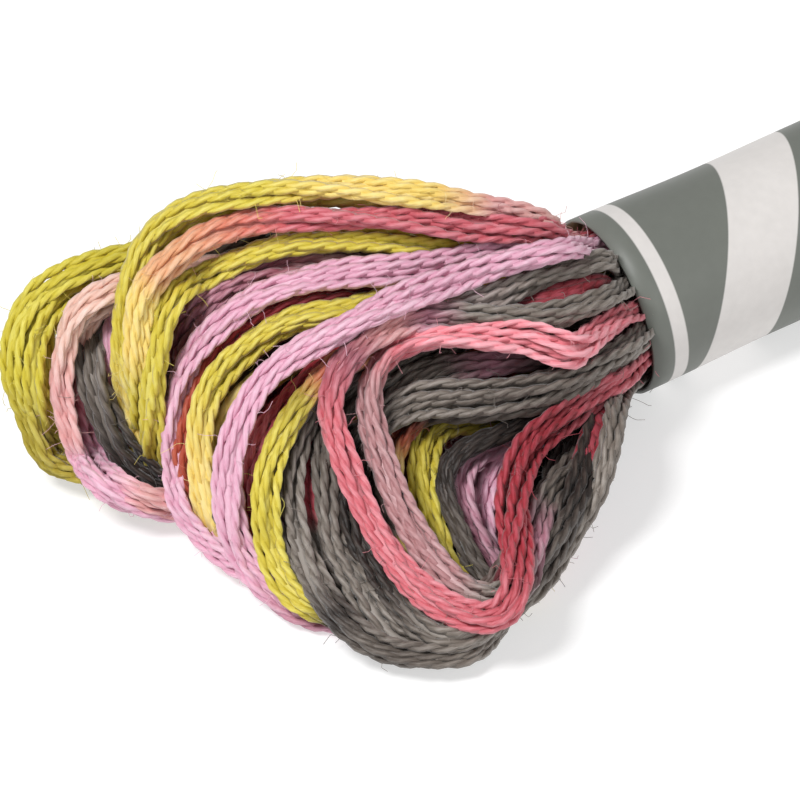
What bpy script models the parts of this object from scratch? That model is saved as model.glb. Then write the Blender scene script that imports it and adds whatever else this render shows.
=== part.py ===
"""A pull skein of six-strand embroidery floss, held by one paper band.

The skein lies along X on the floor, Z = 0, with +Y to its back. Its near loops fan out at -X and
its far loops turn at +X. Every shape is worked out from the band's mouth, where the near loops
come out, and each object is then set down with the middle of the band at X = 0.
"""
import math
from collections import namedtuple

import bmesh
import bpy
import numpy as np

MM = 0.001

# Driving sizes, in millimetres.
FLOSS_RADIUS = 0.62            # one floss of six strands, lying loose
PRESSED_RADIUS = 0.5           # the same floss, squeezed by the band
BAND_RADIUS = 3.55             # outside of the paper
BAND_WALL = 0.5
BAND_LENGTH = 50.0
BAND_SIDES = 32
AXIS_HEIGHT = 3.4              # the band's axis above the floor, which flattens its underside
CLEARANCE = 0.3                # between the paper and the strands
SKEIN_END = 132.5              # the far loops' ends
CORE_RADIUS = BAND_RADIUS - BAND_WALL - CLEARANCE
MOUTH_RADIUS = CORE_RADIUS - PRESSED_RADIUS * 0.8   # where the outermost legs lie in the mouth
LOOSEN_LENGTH = 6.0            # a floss is back to its full size this far out of the band
LEG_DEPTH = 3.0                # each leg runs this far into the band
RING_STEP = 2.4                # between the rings of a tube

# The bare part behind the band.
BELLY_HALF_WIDTH = 4.9
BELLY_HALF_HEIGHT = 4.0
BELLY_START = 68.0             # the strands have spread this far by here
BELLY_END = 120.0              # and start to turn over from here
BELLY_HEIGHT = BELLY_HALF_HEIGHT - 0.15   # its centre, low enough to flatten its underside
RIDGES = 14                    # strands that show as ridges round the bundle
RIDGE_DEPTH = 0.35
RIDGE_TURNS = 0.12             # how much the bundle twists from the band to the far loops

# The far loops, by rule.
FAR_LOOPS = 9
FAR_SPREAD = 34.0              # degrees from the frontmost to the backmost
FAR_LEG_START = 108.0          # where their legs part from the bundle

# The near loops, from the back to the front. A leg's place in the band's mouth is its clock
# angle, in degrees from the top with plus to the front, and its depth, 1 against the paper. A
# turning point is its reach from the mouth in millimetres, its heading off the band's axis in
# degrees with plus to the back, and its height in millimetres.
Loop = namedtuple("Loop", "name leaves lead crown shoulder nose heel sole rise enters")
NEAR_LOOPS = [
    Loop("backInner", (-95, 0.9), None, (13.5, 19.5, 8.0), (20.0, 21.0, 6.8), (21.8, 20.0, 4.0),
         (20.4, 17.0, 0.8), (13.0, 15.0, 0.65), None, (-130, 0.9)),
    Loop("backOuter", (-80, 1.0), None, (14.2, 17.5, 9.3), (20.7, 17.5, 7.8), (22.6, 16.5, 4.6),
         (21.2, 12.0, 0.9), (13.0, 11.0, 0.65), None, (-145, 1.0)),
    Loop("backThird", (-70, 0.8), None, (14.0, 16.5, 8.9), (20.2, 17.0, 7.2), (21.7, 14.3, 4.4),
         (20.4, 9.8, 0.9), (12.0, 8.0, 0.65), None, (-150, 0.7)),
    Loop("pairBack", (-62, 0.9), None, (13.7, 15.5, 9.0), (19.9, 16.5, 7.4), (21.1, 12.9, 4.2),
         (20.0, 7.0, 0.9), (12.0, 5.0, 0.65), None, (-158, 1.0)),
    Loop("pairFront", (-62, 0.6), None, (13.6, 15.0, 8.6), (19.3, 15.5, 6.9), (20.5, 11.6, 4.0),
         (19.4, 5.0, 0.9), (12.0, 2.0, 0.65), None, (-165, 0.7)),
    Loop("topBack", (-45, 1.0), (4.9, 15.0, 9.4), (11.9, 14.5, 11.9), (17.9, 14.5, 10.4),
         (19.2, 12.3, 5.0), (18.5, 7.4, 1.2), (12.0, 4.0, 0.7), None, (-172, 1.0)),
    Loop("topMiddle", (-33, 1.0), (5.0, 10.0, 8.8), (11.3, 13.0, 10.9), (17.3, 13.0, 9.5),
         (18.7, 10.5, 4.6), (18.1, 6.2, 1.0), (12.0, 1.0, 0.65), None, (180, 0.7)),
    Loop("topFront", (-48, 0.7), (5.3, 14.0, 7.4), (11.1, 12.0, 9.9), (16.8, 12.0, 8.5),
         (18.2, 9.0, 4.4), (17.8, 4.4, 0.9), (11.0, -2.0, 0.65), None, (176, 1.0)),
    Loop("scaleBack", (-22, 0.8), None, (11.3, 6.5, 9.4), (16.0, 5.5, 9.0), (18.0, 2.2, 4.0),
         (18.0, -4.0, 0.9), (13.0, -13.0, 0.65), None, (168, 0.8)),
    Loop("scaleMiddle", (-8, 0.7), None, (11.0, 1.5, 8.5), (15.6, 0.5, 7.6), (17.6, -2.5, 4.0),
         (17.7, -9.0, 0.9), (13.5, -19.0, 0.65), None, (158, 1.0)),
    Loop("scaleFront", (-18, 1.0), None, (7.5, -6.0, 8.9), (15.3, -7.0, 8.4), (18.3, -9.5, 3.9),
         (18.6, -19.5, 0.7), (16.3, -31.0, 0.65), None, (146, 1.0)),
    Loop("lastScale", (5, 0.65), None, (9.5, -9.0, 7.7), (15.2, -10.5, 6.9), (17.6, -13.0, 3.7),
         (17.9, -20.5, 0.8), (15.7, -32.0, 0.65), None, (138, 0.8)),
    Loop("rimFirst", (8, 1.0), None, (8.0, -12.5, 8.3), (14.2, -8.5, 6.6), (16.6, -14.0, 3.0),
         (17.4, -25.0, 0.7), (17.6, -37.5, 0.65), (9.5, -50.0, 1.2), (132, 1.0)),
    Loop("rimSecond", (28, 0.8), None, (8.5, -17.0, 6.9), (14.0, -11.5, 5.9), (15.4, -16.0, 2.6),
         (17.0, -29.0, 0.7), (17.6, -41.0, 0.65), (9.2, -52.0, 1.6), (126, 1.0)),
    Loop("rimThird", (70, 0.9), None, (8.5, -27.0, 6.0), (13.6, -16.0, 5.6), (15.1, -21.0, 2.4),
         (16.4, -33.0, 0.8), (16.4, -44.0, 0.8), (8.6, -53.0, 1.9), (120, 0.8)),
    Loop("rimFourth", (88, 1.0), None, (8.8, -21.0, 6.3), (12.8, -16.5, 6.2), (14.8, -22.5, 2.8),
         (16.2, -36.0, 1.0), (15.6, -44.5, 1.0), (8.8, -50.0, 2.0), (130, 0.6)),
    Loop("frontOuter", (40, 1.0), None, (9.0, -13.0, 8.0), (14.0, -9.5, 7.7), (15.2, -20.5, 4.4),
         (16.4, -35.5, 2.1), (16.2, -46.0, 2.0), (10.6, -42.0, 3.0), (112, 1.0)),
    Loop("frontInner", (56, 1.0), None, (8.0, -20.0, 7.2), (12.3, -12.5, 7.0), (13.8, -23.5, 4.4),
         (14.8, -37.5, 1.8), (14.2, -46.5, 1.4), (9.8, -46.0, 2.2), (124, 0.8)),
    Loop("frontDeep", (100, 0.6), None, (8.7, -33.0, 4.6), (11.3, -26.5, 4.4), (11.8, -29.5, 3.0),
         (12.8, -37.0, 1.5), (12.6, -42.0, 1.1), (7.5, -46.0, 1.6), (140, 0.5)),
]


def clear_scene():
    """Start with no objects."""
    for old in list(bpy.data.objects):
        bpy.data.objects.remove(old, do_unlink=True)


def new_material(name, colour, roughness):
    """A plain, non-metallic Principled material."""
    material = bpy.data.materials.new(name)
    material.use_nodes = True
    shader = material.node_tree.nodes["Principled BSDF"]
    shader.inputs["Base Color"].default_value = (*colour, 1.0)
    shader.inputs["Roughness"].default_value = roughness
    shader.inputs["Metallic"].default_value = 0.0
    return material


def mouth_point(place, x):
    """Where a leg lies in the band at X = x, from its clock angle and depth."""
    clock, depth = place
    angle = math.radians(clock)
    out = depth * MOUTH_RADIUS
    return (x, -out * math.sin(angle), AXIS_HEIGHT + out * math.cos(angle))


def turning_point(turn):
    """A loop's point from its reach, heading and height."""
    reach, heading, height = turn
    angle = math.radians(heading)
    return (-reach * math.cos(angle), reach * math.sin(angle), height)


def loop_points(loop):
    """A loop's points in order, from inside the band, round its fold and back inside."""
    turns = [loop.lead, loop.crown, loop.shoulder, loop.nose, loop.heel, loop.sole, loop.rise]
    legs_out = [mouth_point(loop.leaves, LEG_DEPTH), mouth_point(loop.leaves, -0.3)]
    legs_in = [mouth_point(loop.enters, -0.3), mouth_point(loop.enters, LEG_DEPTH)]
    return legs_out + [turning_point(turn) for turn in turns if turn] + legs_in


def smooth_route(points, step):
    """A natural cubic spline through the points, cut into even steps."""
    knots = np.array(points)
    count = len(knots)
    spans = np.linalg.norm(np.diff(knots, axis=0), axis=1) ** 0.75
    system = np.eye(count)
    pull = np.zeros((count, 3))
    for i in range(1, count - 1):
        before, after = spans[i - 1], spans[i]
        system[i, i - 1:i + 2] = before, 2.0 * (before + after), after
        pull[i] = 6.0 * ((knots[i + 1] - knots[i]) / after - (knots[i] - knots[i - 1]) / before)
    bends = np.linalg.solve(system, pull)
    fine = []
    for i in range(count - 1):
        span = spans[i]
        for u in np.linspace(0.0, span, 24, endpoint=False):
            v = span - u
            fine.append((bends[i] * v ** 3 + bends[i + 1] * u ** 3) / (6.0 * span)
                        + (knots[i] / span - bends[i] * span / 6.0) * v
                        + (knots[i + 1] / span - bends[i + 1] * span / 6.0) * u)
    fine.append(knots[-1])
    fine = np.array(fine)
    along = np.concatenate([[0.0], np.cumsum(np.linalg.norm(np.diff(fine, axis=0), axis=1))])
    stops = np.linspace(0.0, along[-1], int(along[-1] / step) + 1)
    route = np.stack([np.interp(stops, along, fine[:, axis]) for axis in range(3)], axis=1)
    route[:, 2] = np.maximum(route[:, 2], FLOSS_RADIUS)
    return route.tolist()


def floss_radius(x):
    """A floss is thin where the band squeezes it and loosens outside."""
    loosened = min(max(-x / LOOSEN_LENGTH, 0.0), 1.0)
    return PRESSED_RADIUS + (FLOSS_RADIUS - PRESSED_RADIUS) * loosened


def add_tube(name, route, radii):
    """A closed six-sided tube along a route, as a mesh object."""
    curve = bpy.data.curves.new(name, "CURVE")
    curve.dimensions = "3D"
    curve.bevel_depth = MM
    curve.bevel_resolution = 1
    curve.use_fill_caps = True
    spline = curve.splines.new("POLY")
    spline.points.add(len(route) - 1)
    for knot, place, radius in zip(spline.points, route, radii):
        knot.co = (place[0] * MM, place[1] * MM, place[2] * MM, 1.0)
        knot.radius = radius
    tube = bpy.data.objects.new(name, curve)
    bpy.context.collection.objects.link(tube)
    bpy.context.view_layer.update()
    mesh = bpy.data.meshes.new_from_object(tube.evaluated_get(bpy.context.evaluated_depsgraph_get()))
    bpy.data.objects.remove(tube)
    return mesh


def ease(value, low, high):
    """0 at low, 1 at high, smooth between."""
    t = min(max((value - low) / (high - low), 0.0), 1.0)
    return t * t * (3.0 - 2.0 * t)


def bundle_section(x):
    """Half width, half height, centre height and ridge depth of the bundle at X = x."""
    spread = ease(x, BAND_LENGTH, BELLY_START)
    narrow = 1.0 - 0.6 * ease(x, FAR_LEG_START, BELLY_END + 8.0)
    half_width = CORE_RADIUS + (BELLY_HALF_WIDTH - CORE_RADIUS) * spread
    half_height = CORE_RADIUS + (BELLY_HALF_HEIGHT - CORE_RADIUS) * spread
    centre = AXIS_HEIGHT + (BELLY_HEIGHT - AXIS_HEIGHT) * spread
    return half_width * narrow, half_height * narrow, centre, RIDGE_DEPTH * spread


def bundle_mesh():
    """The strands packed in the band and bare behind it, ridged lengthwise."""
    inside = [0.5, 25.0, BAND_LENGTH]
    bare = list(np.linspace(BAND_LENGTH + 3.0, BELLY_END + 6.0, 22))
    around = RIDGES * 3
    mesh = bpy.data.meshes.new("bundle")
    vertices = []
    for x in inside + bare:
        half_width, half_height, centre, ridge = bundle_section(x)
        twist = 2.0 * math.pi * RIDGE_TURNS * max(x - BAND_LENGTH, 0.0) / (SKEIN_END - BAND_LENGTH)
        for i in range(around):
            angle = 2.0 * math.pi * i / around
            groove = 0.5 - 0.5 * math.cos(2.0 * math.pi * i / 3.0)
            swell = 1.0 - ridge * groove / half_width
            y = -half_width * swell * math.sin(angle + twist)
            z = centre + half_height * swell * math.cos(angle + twist)
            vertices.append((x * MM, y * MM, max(z, 0.0) * MM))
    rings = len(inside) + len(bare)
    faces = [tuple(range(around))[::-1], tuple((rings - 1) * around + i for i in range(around))]
    for ring in range(rings - 1):
        for i in range(around):
            here, there = ring * around, (ring + 1) * around
            after = (i + 1) % around
            faces.append((here + i, here + after, there + after, there + i))
    mesh.from_pydata(vertices, [], faces)
    return mesh


def belly_point(x, clock):
    """A point in the bundle's skin, by its clock angle, as for the band's mouth."""
    angle = math.radians(clock)
    return (x, -(BELLY_HALF_WIDTH - FLOSS_RADIUS) * math.sin(angle),
            BELLY_HEIGHT + (BELLY_HALF_HEIGHT - FLOSS_RADIUS) * math.cos(angle))


def far_loop_points(index):
    """One loop at the far end: along the bundle's top, round its nose and back underneath."""
    share = 2.0 * index / (FAR_LOOPS - 1) - 1.0
    upper_clock, lower_clock = -62.0 * share, 180.0 + 50.0 * share
    lane = belly_point(0.0, upper_clock)[1]
    side = math.sin(math.radians(FAR_SPREAD / 2.0 * share))
    reach = SKEIN_END - FLOSS_RADIUS - BELLY_END - 1.5 * abs(share) - 0.9 * (index % 2)
    crown = 8.6 - 1.6 * abs(share) + 0.5 * (index % 2)

    def fanned(part, height):
        return (BELLY_END + reach * part, lane + reach * part * side, height)

    return [belly_point(FAR_LEG_START, upper_clock), belly_point(BELLY_END - 5.0, upper_clock),
            fanned(0.5, crown), fanned(0.95, crown * 0.62), fanned(0.9, 1.3), fanned(0.45, FLOSS_RADIUS),
            belly_point(BELLY_END - 5.0, lower_clock), belly_point(FAR_LEG_START, lower_clock)]


def drop_pockets(mesh):
    """Remove the small closed pockets that the fused loops leave inside the solid."""
    work = bmesh.new()
    work.from_mesh(mesh)
    bodies = []
    waiting = set(work.verts)
    while waiting:
        body = {waiting.pop()}
        edge_of_search = list(body)
        while edge_of_search:
            vertex = edge_of_search.pop()
            near = [edge.other_vert(vertex) for edge in vertex.link_edges]
            fresh = [other for other in near if other not in body]
            body.update(fresh)
            edge_of_search.extend(fresh)
        waiting -= body
        bodies.append(body)
    outer = max(bodies, key=len)
    pockets = [vertex for body in bodies if body is not outer for vertex in body]
    bmesh.ops.delete(work, geom=pockets, context="VERTS")
    work.to_mesh(mesh)
    work.free()


def build_skein():
    """The whole skein as one solid: near loops, packed bundle and far loops, fused."""
    skein = bpy.data.objects.new("skein", bundle_mesh())
    bpy.context.collection.objects.link(skein)
    loops = bpy.data.collections.new("loops")
    routes = [smooth_route(loop_points(loop), RING_STEP) for loop in NEAR_LOOPS]
    routes += [smooth_route(far_loop_points(index), RING_STEP) for index in range(FAR_LOOPS)]
    for number, route in enumerate(routes):
        tube = bpy.data.objects.new(f"loop{number}", add_tube(f"loop{number}", route,
                                    [floss_radius(x) if x < 40 else FLOSS_RADIUS for x, _, _ in route]))
        loops.objects.link(tube)
    bpy.context.scene.collection.children.link(loops)
    union = skein.modifiers.new("fuse", "BOOLEAN")
    union.operation = "UNION"
    union.operand_type = "COLLECTION"
    union.collection = loops
    union.solver = "EXACT"
    bpy.context.view_layer.update()
    fused = bpy.data.meshes.new_from_object(skein.evaluated_get(bpy.context.evaluated_depsgraph_get()))
    drop_pockets(fused)
    skein.modifiers.clear()
    skein.data = fused
    for tube in list(loops.objects):
        bpy.data.objects.remove(tube, do_unlink=True)
    bpy.data.collections.remove(loops)
    skein.location.x = -BAND_LENGTH / 2.0 * MM
    skein.data.materials.clear()
    skein.data.materials.append(new_material("cotton", (0.62, 0.45, 0.47), 0.85))
    return skein


def build_band():
    """The paper band: a sleeve, flattened where it lies on the floor."""
    inner = BAND_RADIUS - BAND_WALL
    vertices = []
    for x, radius in ((0.0, BAND_RADIUS), (BAND_LENGTH, BAND_RADIUS), (BAND_LENGTH, inner), (0.0, inner)):
        for i in range(BAND_SIDES):
            angle = 2.0 * math.pi * (i + 0.5) / BAND_SIDES
            z = AXIS_HEIGHT - radius * math.cos(angle)
            vertices.append((x * MM, radius * math.sin(angle) * MM, max(z, 0.0) * MM))
    faces = []
    for ring in range(4):
        here, there = ring * BAND_SIDES, (ring + 1) % 4 * BAND_SIDES
        for i in range(BAND_SIDES):
            after = (i + 1) % BAND_SIDES
            faces.append((here + i, here + after, there + after, there + i))
    mesh = bpy.data.meshes.new("band")
    mesh.from_pydata(vertices, [], faces)
    mesh.materials.append(new_material("paper", (0.21, 0.24, 0.22), 0.6))
    band = bpy.data.objects.new("band", mesh)
    band.location.x = -BAND_LENGTH / 2.0 * MM
    bpy.context.collection.objects.link(band)
    return band


def main():
    clear_scene()
    build_skein()
    build_band()


main()
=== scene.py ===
# A pull skein of variegated embroidery floss in its paper band.
# Geometry Nodes spin each floss along a route that is worked out here: seven strands of two plies
# where the loops show well, and six plain strands elsewhere.
import math

import bpy
import numpy as np
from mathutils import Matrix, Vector


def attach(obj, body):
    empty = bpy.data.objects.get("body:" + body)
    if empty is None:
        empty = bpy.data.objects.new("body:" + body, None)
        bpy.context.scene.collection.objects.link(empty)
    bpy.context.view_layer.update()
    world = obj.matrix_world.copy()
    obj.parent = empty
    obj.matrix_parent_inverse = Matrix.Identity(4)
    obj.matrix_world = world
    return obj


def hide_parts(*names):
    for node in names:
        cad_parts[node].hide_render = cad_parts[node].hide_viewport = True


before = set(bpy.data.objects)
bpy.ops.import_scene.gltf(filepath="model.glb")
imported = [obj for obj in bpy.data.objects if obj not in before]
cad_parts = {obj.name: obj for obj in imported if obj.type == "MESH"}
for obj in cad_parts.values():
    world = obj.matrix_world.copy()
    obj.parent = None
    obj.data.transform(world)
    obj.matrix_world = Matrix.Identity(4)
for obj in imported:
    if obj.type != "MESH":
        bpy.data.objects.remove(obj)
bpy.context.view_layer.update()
mm = 0.001

skein = {
    "mouth": -25.0,            # X of the band's mouth, where the near loops come out
    "axisHeight": 3.4,         # the band's axis above the floor
    "flossRadius": 0.62,       # one floss lying loose
    "pressedRadius": 0.46,     # the same floss in the band's mouth
    "mouthRadius": 2.6,        # where the outermost legs lie in the mouth
    "loosenLength": 6.0,       # a floss is back to its full size this far out of the band
    "nearPress": 0.88,         # how thick the near flosses are spun in the mouth, against loose ones
    "legDepth": 4.0,           # the near legs run this far into the band
    "legTaper": 0.04,          # and draw together by this share in each mm of it
}

# Dyes as they look in even light, red, green and blue from 0 to 255. Two of them stand mostly for light:
# umber, a near black brown, is painted shade in gaps, slits and hollows and on shaded edges, and ash, a
# pale grey, is a painted highlight on a grey floss.
dyes = {
    "lemon": (207, 191, 75), "gold": (234, 208, 122), "olive": (168, 152, 54), "peach": (220, 166, 126),
    "coral": (214, 128, 110), "crimson": (164, 52, 64), "rose": (200, 106, 116), "salmon": (208, 116, 126),
    "pink": (232, 148, 158), "blush": (220, 166, 164), "lilac": (220, 170, 190), "mauve": (182, 130, 146),
    "plum": (148, 86, 98), "dusk": (180, 136, 138), "beige": (212, 174, 160), "sand": (226, 188, 174),
    "greyHighlight": (166, 152, 148), "grey": (126, 117, 109), "slate": (96, 87, 80), "umberShade": (44, 34, 29),
    "maroon": (112, 42, 52), "wine": (134, 40, 50), "rust": (176, 80, 58), "citron": (202, 188, 66),
}

# The camera's view, which is square. Its dots are counted from the top left corner.
view = {
    "azimuth": -34.6, "elevation": 40.0,
    "dots": 800,               # across the view
    "dotsToMm": 27.0,
    "mouth": (607, 302),       # the dot where the middle of the band's mouth shows
    "mouthHeight": 3.6,
    "lens": 1200.0, "sensor": 36.0,
}
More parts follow.
